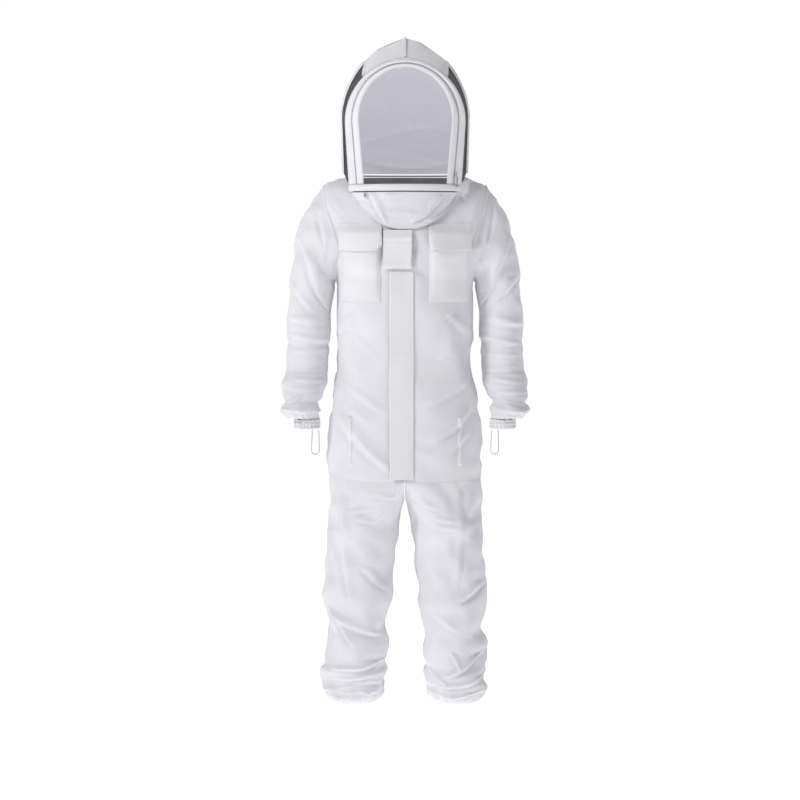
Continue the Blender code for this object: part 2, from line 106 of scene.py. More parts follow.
LEG = (
    (0.500, 0.111, 0.0955, -0.118, 0.126),
    (0.420, 0.120, 0.0920, -0.108, 0.112),
    (0.330, 0.127, 0.0915, -0.101, 0.102),
    (0.240, 0.132, 0.0850, -0.096, 0.099),
    (0.150, 0.136, 0.0840, -0.091, 0.104),
    (0.070, 0.139, 0.0860, -0.088, 0.106),
    (0.022, 0.140, 0.0820, -0.082, 0.100),
    (0.004, 0.140, 0.0680, -0.066, 0.084),
)
CROTCH = 0.556
HEM_ELASTIC = (0.140, 0.009, 0.056, 0.003, 0.021)
ARCHES = (
    (0.1085, -0.118, 1.404, 0.122, -0.142, 1.565, -0.178, 1.697, 1.0),
    (0.127, -0.103, 1.404, 0.139, -0.126, 1.562, -0.180, 1.708, 1.0),
    (0.150, -0.072, 1.406, 0.159, -0.092, 1.562, -0.168, 1.722, 1.02),
    (0.162, -0.035, 1.431, 0.167, -0.033, 1.580, -0.060, 1.778, 1.12),
    (0.164, -0.024, 1.433, 0.169, -0.014, 1.583, -0.040, 1.784, 1.12),
    (0.162, 0.025, 1.436, 0.172, 0.052, 1.580, 0.040, 1.778, 1.12),
)
ARCH_LEG, CROWN_FROM = 0.28, 0.395
HOOD_BACK = ((0.122, 1.438), (0.152, 1.530), (0.158, 1.620), (0.125, 1.720), (0.040, 1.778))
VEIL_BULGE = 0.036
CHIN = (0.157, -0.040, 0.112)
CHIN_BAND = (1.385, 1.4025)
ZIP_X, ZIP_HALF = -0.010, 0.012
PLACKET = (-0.0405, 0.0220, 0.626, 1.176)
THROAT_TAB = (-0.057, 0.019, 1.184, 1.283)
CHEST_POCKET = (0.063, 0.168, 1.095, 1.240)
CHEST_FLAP = (0.0600, 0.174, 1.232, 1.300)
HIP_WELT = (0.140, 0.152, 0.660, 0.790)
THUMB_LOOP = (0.0095, 0.066, 0.010)
HEAD = np.array((0, -0.02, 1.58 - NECK))


# ---- numbers ---------------------------------------------------------------------------------------
def smooth(t):
    t = np.clip(t, 0, 1)
    return t * t * (3 - 2 * t)


def power(v, e):
    return np.sign(v) * np.abs(v) ** e


def between(table, place):
    """Rows of a table at fractional places, on a smooth curve through them."""
    table, place = np.asarray(table, float), np.asarray(place, float)
    last = len(table) - 1
    i = np.clip(np.floor(place).astype(int), 0, last - 1)
    f = (place - i).reshape(place.shape + (1,) * (table.ndim - 1))
    a, b, c, d = (table[np.clip(i + k, 0, last)] for k in (-1, 0, 1, 2))
    rise = (-f + 2 * f**2 - f**3) * a + (2 - 5 * f**2 + 3 * f**3) * b
    return (rise + (f + 4 * f**2 - 3 * f**3) * c + (f**3 - f**2) * d) / 2


def at(x, y, h):
    return np.stack(np.broadcast_arrays(x, y, np.asarray(h) - NECK), -1).astype(float)


def unit(v):
    return v / (np.linalg.norm(v, axis=-1, keepdims=True) + 1e-12)


def blur(v, size, closed):
    """A grid of numbers or points, smoothed over both its ways."""
    k = np.exp(-0.5 * (np.arange(-3 * size, 3 * size + 1) / size) ** 2)
    k /= k.sum()
    w = 3 * size
    flat = v[..., None] if v.ndim == 2 else v
    up = np.pad(flat, ((w, w), (0, 0), (0, 0)), mode="edge")
    out = sum(kk * up[i : i + len(flat)] for i, kk in enumerate(k))
    up = np.pad(out, ((0, 0), (w, w), (0, 0)), mode="wrap" if closed else "edge")
    out = sum(kk * up[:, i : i + flat.shape[1]] for i, kk in enumerate(k))
    return out[..., 0] if v.ndim == 2 else out


def noise(rows, cols, size, seed, closed=True):
    n = blur(np.random.default_rng(seed).normal(size=(rows, cols)), size, closed)
    return n / (np.abs(n).max() + 1e-9)


def normals(P, closed, away=None):
    """Unit normals of a grid, pointing away from its middle or from a point."""
    if closed:
        du = np.roll(P, -1, 1) - np.roll(P, 1, 1)
    else:
        du = np.gradient(P, axis=1)
    n = unit(np.cross(du, np.gradient(P, axis=0)))
    out = P - (P.mean(1, keepdims=True) if away is None else np.asarray(away))
    return n if (n * out).sum() > 0 else -n


# ---- shapes ----------------------------------------------------------------------------------------
def torso_points(place, turn):
    row = between(TORSO, place)
    c, s = np.cos(turn), np.sin(turn)
    depth = np.where(s < 0, -row[..., 2], row[..., 4])
    level = np.where(s < 0, row[..., 3], row[..., 5])
    height = row[..., 1] + (level - row[..., 1]) * np.abs(s) ** NECK_DROP
    return at(row[..., 0] * power(c, SQUARENESS), depth * power(s, SQUARENESS), height)


def front_turn(place, x):
    share = np.clip(x / between(TORSO, place)[..., 0], -1, 1)
    return -np.arccos(power(share, 1 / SQUARENESS))


def armhole(place):
    share = np.clip((np.asarray(place) - ARMHOLE[0]) / (ARMHOLE[1] - ARMHOLE[0]), 0, 1)
    return ARMHOLE[2] * np.maximum(np.sin(math.pi * share), 0) ** 0.7 * ((share > 0) & (share < 1))


def ring(x, y, h, half_x, half_y, cols, slant=0.0):
    a = np.linspace(0, 2 * math.pi, cols, endpoint=False)
    return at(x + half_x * np.cos(a), y + half_y * np.sin(a), h + slant * np.cos(a))


def tube(keys, rows):
    """Rings evenly spaced along a smooth tube through the key rings, and each ring's share."""
    keys = np.asarray(keys)
    step = np.linalg.norm(np.diff(keys, axis=0), axis=2).mean(1)
    run = np.concatenate([[0], np.cumsum(step)])
    place = np.interp(np.linspace(0, run[-1], rows), run, np.arange(len(keys)))
    return between(keys, place), place


def hood_points(arch, along):
    arch, along = np.broadcast_arrays(np.asarray(arch, float), np.asarray(along, float))
    bx, by, bh, sx, sy, sh, cy, ch, square = np.moveaxis(between(ARCHES, arch), -1, 0)
    near = np.minimum(along, 1 - along)
    hand = np.where(along <= 0.5, 1.0, -1.0)
    f = np.clip(near / ARCH_LEG, 0, 1)
    leg = at(hand * (bx + (sx - bx) * f), by + (sy - by) * f, bh + (sh - bh) * f)
    angle = np.clip((near - ARCH_LEG) / (0.5 - ARCH_LEG), 0, 1) * math.pi / 2
    out, up = np.cos(angle) ** square, np.sin(angle) ** square
    top = at(hand * sx * out, sy + (cy - sy) * up, sh + (ch - sh) * up)
    return np.where((near < ARCH_LEG)[..., None], leg, top)


def chin_points(angle, h):
    return at(CHIN[0] * np.cos(angle), CHIN[1] - CHIN[2] * np.sin(angle), h)


# ---- meshes ----------------------------------------------------------------------------------------
def quads(rows, cols, closed, start=0):
    i, j = np.meshgrid(np.arange(rows - 1), np.arange(cols if closed else cols - 1), indexing="ij")
    k = (j + 1) % cols
    f = np.stack([i * cols + j, i * cols + k, (i + 1) * cols + k, (i + 1) * cols + j], -1)
    return f.reshape(-1, 4) + start


def oriented(verts, faces, norms):
    """The faces, turned to look the way their normals do."""
    a, b, c = (verts[faces[:, k]] for k in (0, 1, 2))
    flip = (np.cross(b - a, c - b) * norms[faces[:, 0]]).sum(1) < 0
    faces = faces.copy()
    faces[flip] = faces[flip][:, ::-1]
    return faces


def shell(P, N, closed=False, thick=CLOTH):
    """A cloth wall with an outer face, an inner face and rims."""
    rows, cols = P.shape[:2]
    n = rows * cols
    outer = quads(rows, cols, closed)
    verts = np.concatenate([P.reshape(-1, 3), (P - N * thick).reshape(-1, 3)])
    norms = np.concatenate([N.reshape(-1, 3), -N.reshape(-1, 3)])
    faces = [oriented(verts, outer, norms), oriented(verts, outer + n, norms)]
    edges = [np.arange(cols), (rows - 1) * cols + np.arange(cols)]
    if closed:
        edges = [np.append(e, e[0]) for e in edges]
    else:
        edges += [np.arange(rows) * cols, np.arange(rows) * cols + cols - 1]
    middle = P.reshape(-1, 3).mean(0)
    for e in edges:
        rim = np.stack([e[:-1], e[1:], e[1:] + n, e[:-1] + n], 1)
        a, b, c = (verts[rim[:, k]] for k in (0, 1, 2))
        out = verts[rim].mean(1) - (P.mean((0, 1)) if not closed else middle)
        side = np.cross(b - a, c - b)
        flip = (side * out).sum(1) < 0
        rim[flip] = rim[flip][:, ::-1]
        faces.append(rim)
    return verts, np.concatenate(faces), norms


def strip(path, out, width, lift, thick=0.0012):
    """A raised band along a path, as a felled seam or a folded hem makes."""
    along = unit(np.gradient(path, axis=0))
    out = unit(out)
    side = unit(np.cross(along, out))
    w = width / 2
    cross = ((-w, -0.0006), (-w, lift * 0.8), (-w * 0.7, lift), (w * 0.7, lift), (w, lift * 0.8), (w, -0.0006))
    P = np.stack([path + side * a + out * b for a, b in cross], 1)
    N = np.stack([unit(side * a + out * b) for a, b in ((-1, 0.2), (-0.7, 0.7), (-0.1, 1), (0.1, 1), (0.7, 0.7), (1, 0.2))], 1)
    verts, norms = P.reshape(-1, 3), N.reshape(-1, 3)
    return verts, oriented(verts, quads(len(path), 6, True), norms), norms


def resampled(path, out, pitch):
    run = np.concatenate([[0], np.cumsum(np.linalg.norm(np.diff(path, axis=0), axis=1))])
    s = np.arange(pitch, run[-1] - pitch / 2, pitch)
    return (np.stack([np.interp(s, run, v[:, k]) for k in range(3)], 1) for v in (path, out))


def stitches(path, out, pitch=0.0042, long=0.0027, radius=0.00042, lift=0.0002):
    """A row of thread stitches."""
    p, n = resampled(path, out, pitch)
    if len(p) < 2:
        return np.zeros((0, 3)), np.zeros((0, 4), int), np.zeros((0, 3))
    t, n = unit(np.gradient(p, axis=0)), unit(n)
    b = np.cross(t, n)
    centre = p + n * lift
    rings = []
    for s, r in ((-0.5, 0.35), (-0.3, 1.0), (0.3, 1.0), (0.5, 0.35)):
        for c, d in ((1, 0), (0, 1), (-1, 0), (0, -1)):
            rings.append((centre + t * long * s + (b * c + n * d) * radius * r, b * c + n * d))
    verts = np.stack([r[0] for r in rings], 1).reshape(-1, 3)
    norms = np.stack([r[1] for r in rings], 1).reshape(-1, 3)
    one = np.concatenate([quads(4, 4, True), [[0, 1, 2, 3], [12, 13, 14, 15]]])
    faces = (one[None] + np.arange(len(p))[:, None, None] * 16).reshape(-1, 4)
    return verts, oriented(verts, faces, norms), norms


def piece(name, parts, material, body=None, replaces=()):
    """One mesh out of several parts, shaded by their own normals."""
    verts, faces, norms, count = [], [], [], 0
    for v, f, n in parts:
        verts.append(v)
        faces += (np.asarray(f) + count).tolist()
        norms.append(n)
        count += len(v)
    mesh = bpy.data.meshes.new(name)
    mesh.from_pydata(np.concatenate(verts).tolist(), [], faces)
    mesh.materials.append(material)
    mesh.shade_smooth()
    mesh.normals_split_custom_set_from_vertices(np.concatenate(norms).tolist())
    thing = bpy.data.objects.new(name, mesh)
    bpy.context.scene.collection.objects.link(thing)
    if body:
        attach(thing, body)
    if replaces:
        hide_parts(*replaces)
    return thing


# ---- materials -------------------------------------------------------------------------------------
def shader(name, rough, sheen=0.0, metallic=0.0):
    m = bpy.data.materials.new(name)
    m.use_nodes = True
    tree = m.node_tree
    p = tree.nodes["Principled BSDF"]
    p.inputs["Roughness"].default_value = rough
    p.inputs["Metallic"].default_value = metallic
    p.inputs["Sheen Weight"].default_value = sheen
    p.inputs["Sheen Roughness"].default_value = 0.5
    p.inputs["Specular IOR Level"].default_value = 0.25
    where = tree.nodes.new("ShaderNodeTexCoord").outputs["Object"]

    def noise_at(scale, detail=3.0):
        n = tree.nodes.new("ShaderNodeTexNoise")
        n.inputs["Scale"].default_value = scale
        n.inputs["Detail"].default_value = detail
        tree.links.new(where, n.inputs["Vector"])
        return n.outputs["Fac"]

    def wave_at(scale, way):
        n = tree.nodes.new("ShaderNodeTexWave")
        n.bands_direction = way
        n.inputs["Scale"].default_value = scale
        n.inputs["Distortion"].default_value = 0.4
        n.inputs["Detail"].default_value = 0.0
        tree.links.new(where, n.inputs["Vector"])
        return n.outputs["Fac"]

    def mix(a, b, fac):
        n = tree.nodes.new("ShaderNodeMix")
        n.data_type = "RGBA"
        n.inputs["A"].default_value = (*a, 1)
        n.inputs["B"].default_value = (*b, 1)
        tree.links.new(fac, n.inputs["Factor"])
        return n.outputs["Result"]

    def bump(height, distance, strength, under=None):
        n = tree.nodes.new("ShaderNodeBump")
        n.inputs["Distance"].default_value = distance
        n.inputs["Strength"].default_value = strength
        tree.links.new(height, n.inputs["Height"])
        if under is not None:
            tree.links.new(under, n.inputs["Normal"])
        return n.outputs["Normal"]

    def ramp(value, low, high, to_low, to_high):
        n = tree.nodes.new("ShaderNodeMapRange")
        for key, v in zip(("From Min", "From Max", "To Min", "To Max"), (low, high, to_low, to_high)):
            n.inputs[key].default_value = v
        tree.links.new(value, n.inputs["Value"])
        return n.outputs["Result"]

    def both(kind, a, b):
        n = tree.nodes.new("ShaderNodeMath")
        n.operation = kind
        tree.links.new(a, n.inputs[0])
        tree.links.new(b, n.inputs[1])
        return n.outputs["Value"]

    return m, p, tree, noise_at, wave_at, mix, bump, ramp, both


def cloth_material(name, light, dark, twill=420, crumple=1.0):
    m, p, tree, noise_at, wave_at, mix, bump, ramp, both = shader(name, 0.86, 0.25)
    tree.links.new(mix(dark, light, ramp(noise_at(9, 4), 0.3, 0.62, 0, 1)), p.inputs["Base Color"])
    soft = bump(noise_at(13, 2), 0.010, 0.30 * crumple)
    fine = bump(noise_at(75, 4), 0.0022, 0.22 * crumple, soft)
    weave = bump(both("ADD", wave_at(twill, "DIAGONAL"), noise_at(900, 1)), 0.0003, 0.35, fine)
    tree.links.new(weave, p.inputs["Normal"])
    return m


def net_material(name, colour, thin, thick, scale):
    m, p, tree, noise_at, wave_at, mix, bump, ramp, both = shader(name, 0.75, 0.1)
    threads = both("MAXIMUM", wave_at(scale, "X"), wave_at(scale, "Z"))
    pale = tuple(c * 1.8 + 0.01 for c in colour)
    tree.links.new(mix(colour, pale, noise_at(60, 3)), p.inputs["Base Color"])
    tree.links.new(ramp(threads, 0.45, 0.95, thin, thick), p.inputs["Alpha"])
    tree.links.new(bump(threads, 0.0004, 0.4), p.inputs["Normal"])
    return m


def metal_material(name, light, dark, rough=0.32):
    m, p, tree, noise_at, wave_at, mix, bump, ramp, both = shader(name, rough, 0, 1)
    tree.links.new(mix(dark, light, ramp(noise_at(260, 4), 0.35, 0.6, 0, 1)), p.inputs["Base Color"])
    tree.links.new(ramp(noise_at(500, 2), 0.3, 0.7, rough * 0.8, rough * 1.4), p.inputs["Roughness"])
    tree.links.new(bump(noise_at(1200, 2), 0.0001, 0.3), p.inputs["Normal"])
    return m


COTTON = cloth_material("cotton_twill", (0.79, 0.785, 0.815), (0.755, 0.745, 0.785))
TRIM = cloth_material("cotton_trim", (0.82, 0.815, 0.84), (0.785, 0.78, 0.81), crumple=0.5)
ELASTIC = cloth_material("ribbed_elastic", (0.80, 0.79, 0.80), (0.74, 0.73, 0.75), 700, 0.6)
CREAM = cloth_material("cream_elastic", (0.80, 0.765, 0.68), (0.74, 0.70, 0.61), 800, 0.4)
THREAD = cloth_material("thread", (0.80, 0.80, 0.83), (0.72, 0.72, 0.76), 1500, 0.3)
TAPE = cloth_material("zip_tape", (0.76, 0.76, 0.78), (0.70, 0.70, 0.73), 1100, 0.3)
TEETH = cloth_material("zip_teeth", (0.62, 0.62, 0.65), (0.54, 0.54, 0.58), 1500, 0.2)
SIDE_NET = net_material("black_side_net", (0.008, 0.008, 0.010), 0.62, 1.0, 160)
FACE_NET = net_material("fine_veil_net", (0.030, 0.028, 0.032), 0.02, 0.10, 210)
# Painted light: the hood's back cotton glows faintly with a pale lilac emission, standing in for light that reaches the
# inside of the hood through the veil.
GLOWING_LINER = cloth_material("hood_back_cotton_glowing", (0.80, 0.79, 0.83), (0.76, 0.75, 0.80))
glow = GLOWING_LINER.node_tree.nodes["Principled BSDF"]
glow.inputs["Emission Color"].default_value = (0.92, 0.90, 1.0, 1)
glow.inputs["Emission Strength"].default_value = 0.32
METAL = metal_material("zip_nickel", (0.62, 0.62, 0.64), (0.48, 0.48, 0.50))
STAY = metal_material("stay_plastic", (0.72, 0.72, 0.74), (0.62, 0.62, 0.64), 0.45)
STAY.node_tree.nodes["Principled BSDF"].inputs["Metallic"].default_value = 0.0


# ---- folds -----------------------------------------------------------------------------------------
def folds(P, N, lines, facing=-1.0):
    """Height of creases along lines seen from the front (facing -1) or from the back (1).

    A line is x, h to x, h, width, height: a sharp valley with a rounded ridge above it."""
    x, h = P[..., 0], P[..., 2] + NECK
    seen = smooth(N[..., 1] * facing * 1.5 + 0.35)
    total = np.zeros(x.shape)
    for x0, h0, x1, h1, width, height in lines:
        if x1 < x0:
            x0, h0, x1, h1 = x1, h1, x0, h0
        dx, dh = x1 - x0, h1 - h0
        long = math.hypot(dx, dh)
        t = ((x - x0) * dx + (h - h0) * dh) / long**2
        u = ((h - h0) * dx - (x - x0) * dh) / long + 0.05 * long * np.sin(math.pi * np.clip(t, 0, 1))
        w = width * (0.55 + 0.45 * np.sin(math.pi * np.clip(t, 0, 1)))
        ends = smooth((t + 0.12) / 0.3) * smooth((1.12 - t) / 0.3)
        total += height * ends * (np.exp(-((u / w - 0.95) ** 2) / 0.7) - 0.8 * np.exp(-((u / w) ** 2) / 0.16))
    return total * seen


def crumple(target, longer, wider, faces, pinned, soft, frames, bend, stiff, seed, centre):
    """Cloth too big for its shape, drawn into it by simulation; returns how far each point moved."""
    out = target - centre
    start = centre + out * wider
    start[:, 2] = target[:, 2].max() + (target[:, 2] - target[:, 2].max()) * longer
    rng = np.random.default_rng(seed)
    rough = np.zeros(len(target))
    for _ in range(14):
        way = unit(rng.normal(size=3)) * 2 * math.pi / rng.uniform(0.035, 0.13)
        rough += np.sin(target @ way + rng.uniform(0, 6.28))
    start = start + unit(out) * (rough * 0.0009)[:, None]
    mesh = bpy.data.meshes.new("slack")
    mesh.from_pydata(start.tolist(), [], faces.tolist())
    cloth = bpy.data.objects.new("slack", mesh)
    bpy.context.scene.collection.objects.link(cloth)
    group = cloth.vertex_groups.new(name="pin")
    group.add(np.nonzero(pinned)[0].tolist(), 1.0, "REPLACE")
    for level in np.unique(soft[~pinned]):
        group.add(np.nonzero(~pinned & (soft == level))[0].tolist(), float(level), "REPLACE")
    cloth.shape_key_add(name="Basis")
    key = cloth.shape_key_add(name="worn")
    key.data.foreach_set("co", target.reshape(-1))
    key.value = 0
    key.keyframe_insert("value", frame=1)
    key.value = 1
    key.keyframe_insert("value", frame=frames - 6)
    mod = cloth.modifiers.new("cloth", "CLOTH")
    s = mod.settings
    s.quality, s.mass, s.air_damping = 4, 0.15, 1.0
    s.tension_stiffness = s.compression_stiffness = stiff
    s.shear_stiffness = stiff / 2
    s.bending_stiffness, s.bending_damping = bend, 0.5
    s.tension_damping = s.compression_damping = s.shear_damping = 5
    s.vertex_group_mass, s.pin_stiffness = "pin", 1
    s.effector_weights.gravity = 0
    mod.collision_settings.use_collision = False
    mod.collision_settings.use_self_collision = False
    mod.point_cache.frame_start, mod.point_cache.frame_end = 1, frames + 1
    for f in range(1, frames + 1):
        bpy.context.scene.frame_set(f)
    shape = cloth.evaluated_get(bpy.context.evaluated_depsgraph_get()).to_mesh()
    moved = np.empty(len(target) * 3)
    shape.vertices.foreach_get("co", moved)
    bpy.data.objects.remove(cloth, do_unlink=True)
    bpy.data.meshes.remove(mesh)
    bpy.context.scene.frame_set(1)
    return moved.reshape(-1, 3) - target


def held(move, most):
    """Movements, none longer than the given lengths."""
    far = np.linalg.norm(move, axis=-1, keepdims=True)
    most = np.asarray(most)[..., None] if np.ndim(most) else most
    return move * most * np.tanh(far / most) / (far + 1e-12)


def crumpled_tube(P, longer, wider, soft, most, seed, bend=1.0, stiff=25, frames=20, hold=2):
    """A closed grid after crumple(). longer, soft and most go by row."""
    rows, cols = P.shape[:2]
    pinned = np.zeros((rows, cols), bool)
    pinned[:hold] = pinned[-hold:] = True
    level = np.round(np.broadcast_to(soft[:, None], (rows, cols)), 3)
    centre = np.broadcast_to(P.mean(1, keepdims=True), P.shape).reshape(-1, 3)
    grow = np.broadcast_to(longer[:, None], (rows, cols)).reshape(-1)
    move = crumple(
        P.reshape(-1, 3), grow, wider, quads(rows, cols, True), pinned.reshape(-1), level.reshape(-1),
        frames, bend, stiff, seed, centre,
    ).reshape(P.shape)
    fade = smooth(np.arange(rows) / 5.0) * smooth((rows - 1 - np.arange(rows)) / 5.0)
    move = held(move, np.broadcast_to((most * fade + 1e-5)[:, None], (rows, cols)))
    return P + blur(move, 1, True)


# ---- torso -----------------------------------------------------------------------------------------
TORSO_FOLDS = (
    (-0.200, 0.800, -0.045, 0.640, 0.020, 0.0060),
    (-0.170, 0.872, -0.060, 0.800, 0.014, 0.0045),
    (-0.172, 0.818, -0.100, 0.770, 0.012, 0.0035),
    (-0.146, 0.998, -0.085, 0.954, 0.011, 0.0030),
    (-0.176, 1.005, -0.125, 1.064, 0.013, 0.0050),
    (-0.180, 0.930, -0.110, 0.905, 0.012, 0.0025),
    (0.176, 1.000, 0.105, 1.055, 0.014, 0.0045),
    (0.170, 0.880, 0.060, 0.815, 0.016, 0.0045),
    (0.185, 0.800, 0.080, 0.720, 0.018, 0.0045),
    (0.150, 0.965, 0.090, 0.935, 0.012, 0.0028),
    (0.175, 0.740, 0.120, 0.690, 0.014, 0.0030),
    (-0.188, 1.330, -0.120, 1.340, 0.014, 0.0030),
    (0.188, 1.330, 0.120, 1.340, 0.014, 0.0030),
)
BACK_FOLDS = (
    (-0.170, 1.220, -0.060, 1.120, 0.020, 0.0060),
    (0.172, 1.230, 0.070, 1.110, 0.020, 0.0060),
    (-0.165, 1.060, 0.030, 1.000, 0.018, 0.0050),
    (0.165, 1.020, -0.020, 0.960, 0.018, 0.0050),
    (-0.170, 0.920, 0.120, 0.880, 0.016, 0.0060),
    (0.180, 0.860, -0.090, 0.830, 0.016, 0.0050),
    (-0.185, 0.760, -0.060, 0.690, 0.018, 0.0050),
    (0.190, 0.750, 0.060, 0.680, 0.018, 0.0050),
)


def torso():
    places = np.linspace(0, len(TORSO) - 1, 112)[:, None]
    seam_l, seam_r = ZIP_X + ZIP_HALF, ZIP_X - ZIP_HALF

    def panel(first, last, cols):
        f = np.linspace(0, 1, cols)[None]
        return torso_points(places + 0 * f, first + (last - first) * f)

    hole = armhole(places)
    grids = {
        "right": panel(hole - math.pi, front_turn(places, seam_r), 46),
        "zip": np.stack([torso_points(places[:, 0], front_turn(places[:, 0], x)) for x in np.linspace(seam_r, seam_l, 5)], 1),
        "left": panel(front_turn(places, seam_l), -hole, 46),
        "back": panel(hole, math.pi - hole, 92),
    }
    norms, target = {}, {}
    for key, P in grids.items():
        axis = P.copy()
        axis[..., :2] = 0
        N = normals(P, False, axis)
        lift = folds(P, N, TORSO_FOLDS) + folds(P, N, BACK_FOLDS, 1.0)
        h = P[..., 2] + NECK
        calm = smooth((h - 0.62) / 0.02) * smooth((1.33 - h) / 0.05)
        if key == "zip":
            calm = calm * 0
        if key in ("left", "right"):
            calm = calm * smooth(np.abs(P[..., 0] - ZIP_X) / 0.03 - 0.4)
        norms[key], target[key] = N, P + N * (lift * calm)[..., None]
    every = np.concatenate([v.reshape(-1, 3) for v in target.values()])
    base = np.concatenate([v.reshape(-1, 3) for v in grids.values()])
    first_pin, faces, start = [], [], 0
    for key, P in grids.items():
        rows, cols = P.shape[:2]
        pin = np.zeros((rows, cols), bool)
        pin[:2] = pin[-2:] = True
        if key == "zip":
            pin[:] = True
        open_rows = hole[:, 0] > 0
        if key in ("right", "back"):
            pin[open_rows, 0] = True
        if key in ("left", "back"):
            pin[open_rows, -1] = True
        first_pin.append(pin.reshape(-1))
        faces.append(quads(rows, cols, False, start))
        start += rows * cols
    _, index, back = np.unique(np.round(base, 5), axis=0, return_index=True, return_inverse=True)
    back = back.reshape(-1)
    pinned = np.zeros(len(index), bool)
    np.logical_or.at(pinned, back, np.concatenate(first_pin))
    goal = every[index]
    joined = back[np.concatenate(faces)]
    centre = goal * np.array((0, 0, 1))
    soft = np.full(len(goal), 0.03)
    move = crumple(goal, np.full(len(goal), 1.03), 1.02, joined, pinned, soft, 16, 6.0, 25, 3, centre)
    side = smooth((np.abs(goal[:, 0]) - 0.13) / 0.03)
    h = goal[:, 2] + NECK
    armpit = side * smooth((h - 0.98) / 0.05) * smooth((1.30 - h) / 0.05)
    low = smooth((h - 0.62) / 0.03)
    move = held(move, 0.0085 * low * (1 - 0.75 * armpit) + 1e-5)
    outward = np.maximum((move * unit(goal * np.array((1, 1, 0)))).sum(1), 0)
    move -= unit(goal * np.array((1, 1, 0))) * (outward * armpit * 0.8)[:, None]
    shift, start = move[back], 0
    final = goal[back]
    for key, P in grids.items():
        count = P.shape[0] * P.shape[1]
        pin = np.concatenate(first_pin)[start : start + count].reshape(P.shape[:2])
        part = shift[start : start + count].reshape(P.shape)
        calm = part if key == "zip" else blur(part, 2, False)
        for edge in (0, -1):
            calm[:, edge] = part[:, edge]
            calm[:, 1 if edge == 0 else -2] = (part[:, edge] + calm[:, 1 if edge == 0 else -2]) / 2
        calm[pin] = 0
        shift[start : start + count] = calm.reshape(-1, 3)
        start += count
    final = final + shift
    result, start = {}, 0
    for key, P in grids.items():
        count = P.shape[0] * P.shape[1]
        Q = final[start : start + count].reshape(P.shape)
        axis = Q.copy()
        axis[..., :2] = 0
        result[key] = (Q, normals(Q, False, axis))
        start += count
    tree = BVHTree.FromPolygons([Vector(v) for v in final], np.concatenate(faces).tolist())
    return result, tree


grids, TORSO_TREE = torso()
for key in ("left", "right"):
    P, N = grids[key]
    edge = 0 if key == "left" else -1
    parts = [shell(P, N)]
    path, out = P[:, edge], N[:, edge]
    inward = unit(P[:, 3 if key == "left" else -4] - path)
    parts.append(strip(path + inward * 0.005, out, 0.008, 0.0011))
    parts.append(stitches(path + inward * 0.0025, out, lift=0.0012))
    parts.append(stitches(path + inward * 0.0075, out, lift=0.0012))
    piece(f"front_{key}_cloth", parts, COTTON, "torso", [f"front_panel_{key}"])
P, N = grids["back"]
parts = [shell(P, N)]
for edge, near in ((0, 2), (-1, -3)):
    closed_rows = np.nonzero(armhole(np.linspace(0, len(TORSO) - 1, len(P))) <= 0)[0]
    for rows in (closed_rows[closed_rows < 40], closed_rows[closed_rows >= 40]):
        path, out = P[rows, edge], N[rows, edge]
        inward = unit(P[rows, near] - path)
        parts.append(strip(path + inward * 0.0030, out, 0.008, 0.0013))
        parts.append(stitches(path + inward * 0.0012, out, lift=0.0014))
        parts.append(stitches(path + inward * 0.0052, out, lift=0.0014))
piece("back_cloth", parts, COTTON, "torso", ["back_panel"])
P, N = grids["zip"]
for name, cols in (("left", slice(2, 5)), ("right", slice(0, 3))):
    side = P[:, cols] - N[:, cols] * 0.0012
    if name == "left":
        side = side + np.array((0.0006, 0, 0))
    piece(f"zip_tape_{name}", [shell(side, N[:, cols], thick=0.0006)], TAPE, "torso", [f"main_zip_{name}"])


def cast(x, h):
    """Points of the crumpled front at the given x and height."""
    out = np.zeros(x.shape + (3,))
    for i in np.ndindex(x.shape):
        spot = TORSO_TREE.ray_cast(Vector((x[i], -1.0, h[i] - NECK)), Vector((0, 1, 0)))[0]
        out[i] = spot if spot is not None else (x[i], -0.12, h[i] - NECK)
    return out


def laid(x_from, x_to, h_from, h_to, cols, rows, calm=2):
    """A patch over the front, its hollows evened out, with its normals and its 0 to 1 ways."""
    u, v = np.meshgrid(np.linspace(0, 1, cols), np.linspace(0, 1, rows))
    P = cast(x_from + (x_to - x_from) * u, h_from + (h_to - h_from) * v)
    P[..., 1] = np.minimum(blur(P[..., 1], calm, False), P[..., 1] + 0.001)
    axis = P.copy()
    axis[..., :2] = 0
    return P, normals(P, False, axis), u, v


def again(P):
    axis = P.copy()
    axis[..., :2] = 0
    return normals(P, False, axis)


def teeth(name, path, out, across, pitch, body, size=(0.0011, 0.0009, 0.0008)):
    """Two rows of moulded teeth along a path."""
    parts = []
    for hand in (-1, 1):
        p, n = resampled(path, out, pitch)
        a = resampled(path, across, pitch)
        a = list(a)[1]
        t = unit(np.gradient(p, axis=0))
        p = p + t * pitch * 0.5 * (hand > 0) + a * hand * size[0] * 0.75
        box = []
        for i, (x, y, z) in enumerate(((-1, -1, -1), (1, -1, -1), (1, 1, -1), (-1, 1, -1), (-1, -1, 1), (1, -1, 1), (1, 1, 1), (-1, 1, 1))):
            far = 0.7 if z > 0 else 1.0
            box.append((p + a * x * size[0] * far + t * y * size[1] / 2 * far + n * z * size[2] / 2, unit(a * x + t * y + n * z)))
        verts = np.stack([b[0] for b in box], 1).reshape(-1, 3)
        norms = np.stack([b[1] for b in box], 1).reshape(-1, 3)
        one = np.array(((0, 1, 2, 3), (4, 5, 6, 7), (0, 1, 5, 4), (1, 2, 6, 5), (2, 3, 7, 6), (3, 0, 4, 7)))
        faces = (one[None] + np.arange(len(p))[:, None, None] * 8).reshape(-1, 4)
        parts.append((verts, oriented(verts, faces, norms), norms))
    return piece(name, parts, TEETH, body)


zip_path, zip_out = P[6:, 2], N[6:, 2]
teeth("main_zip_teeth", zip_path + zip_out * 0.0004, zip_out, np.tile((1.0, 0, 0), (len(zip_path), 1)), 0.0026, "torso")


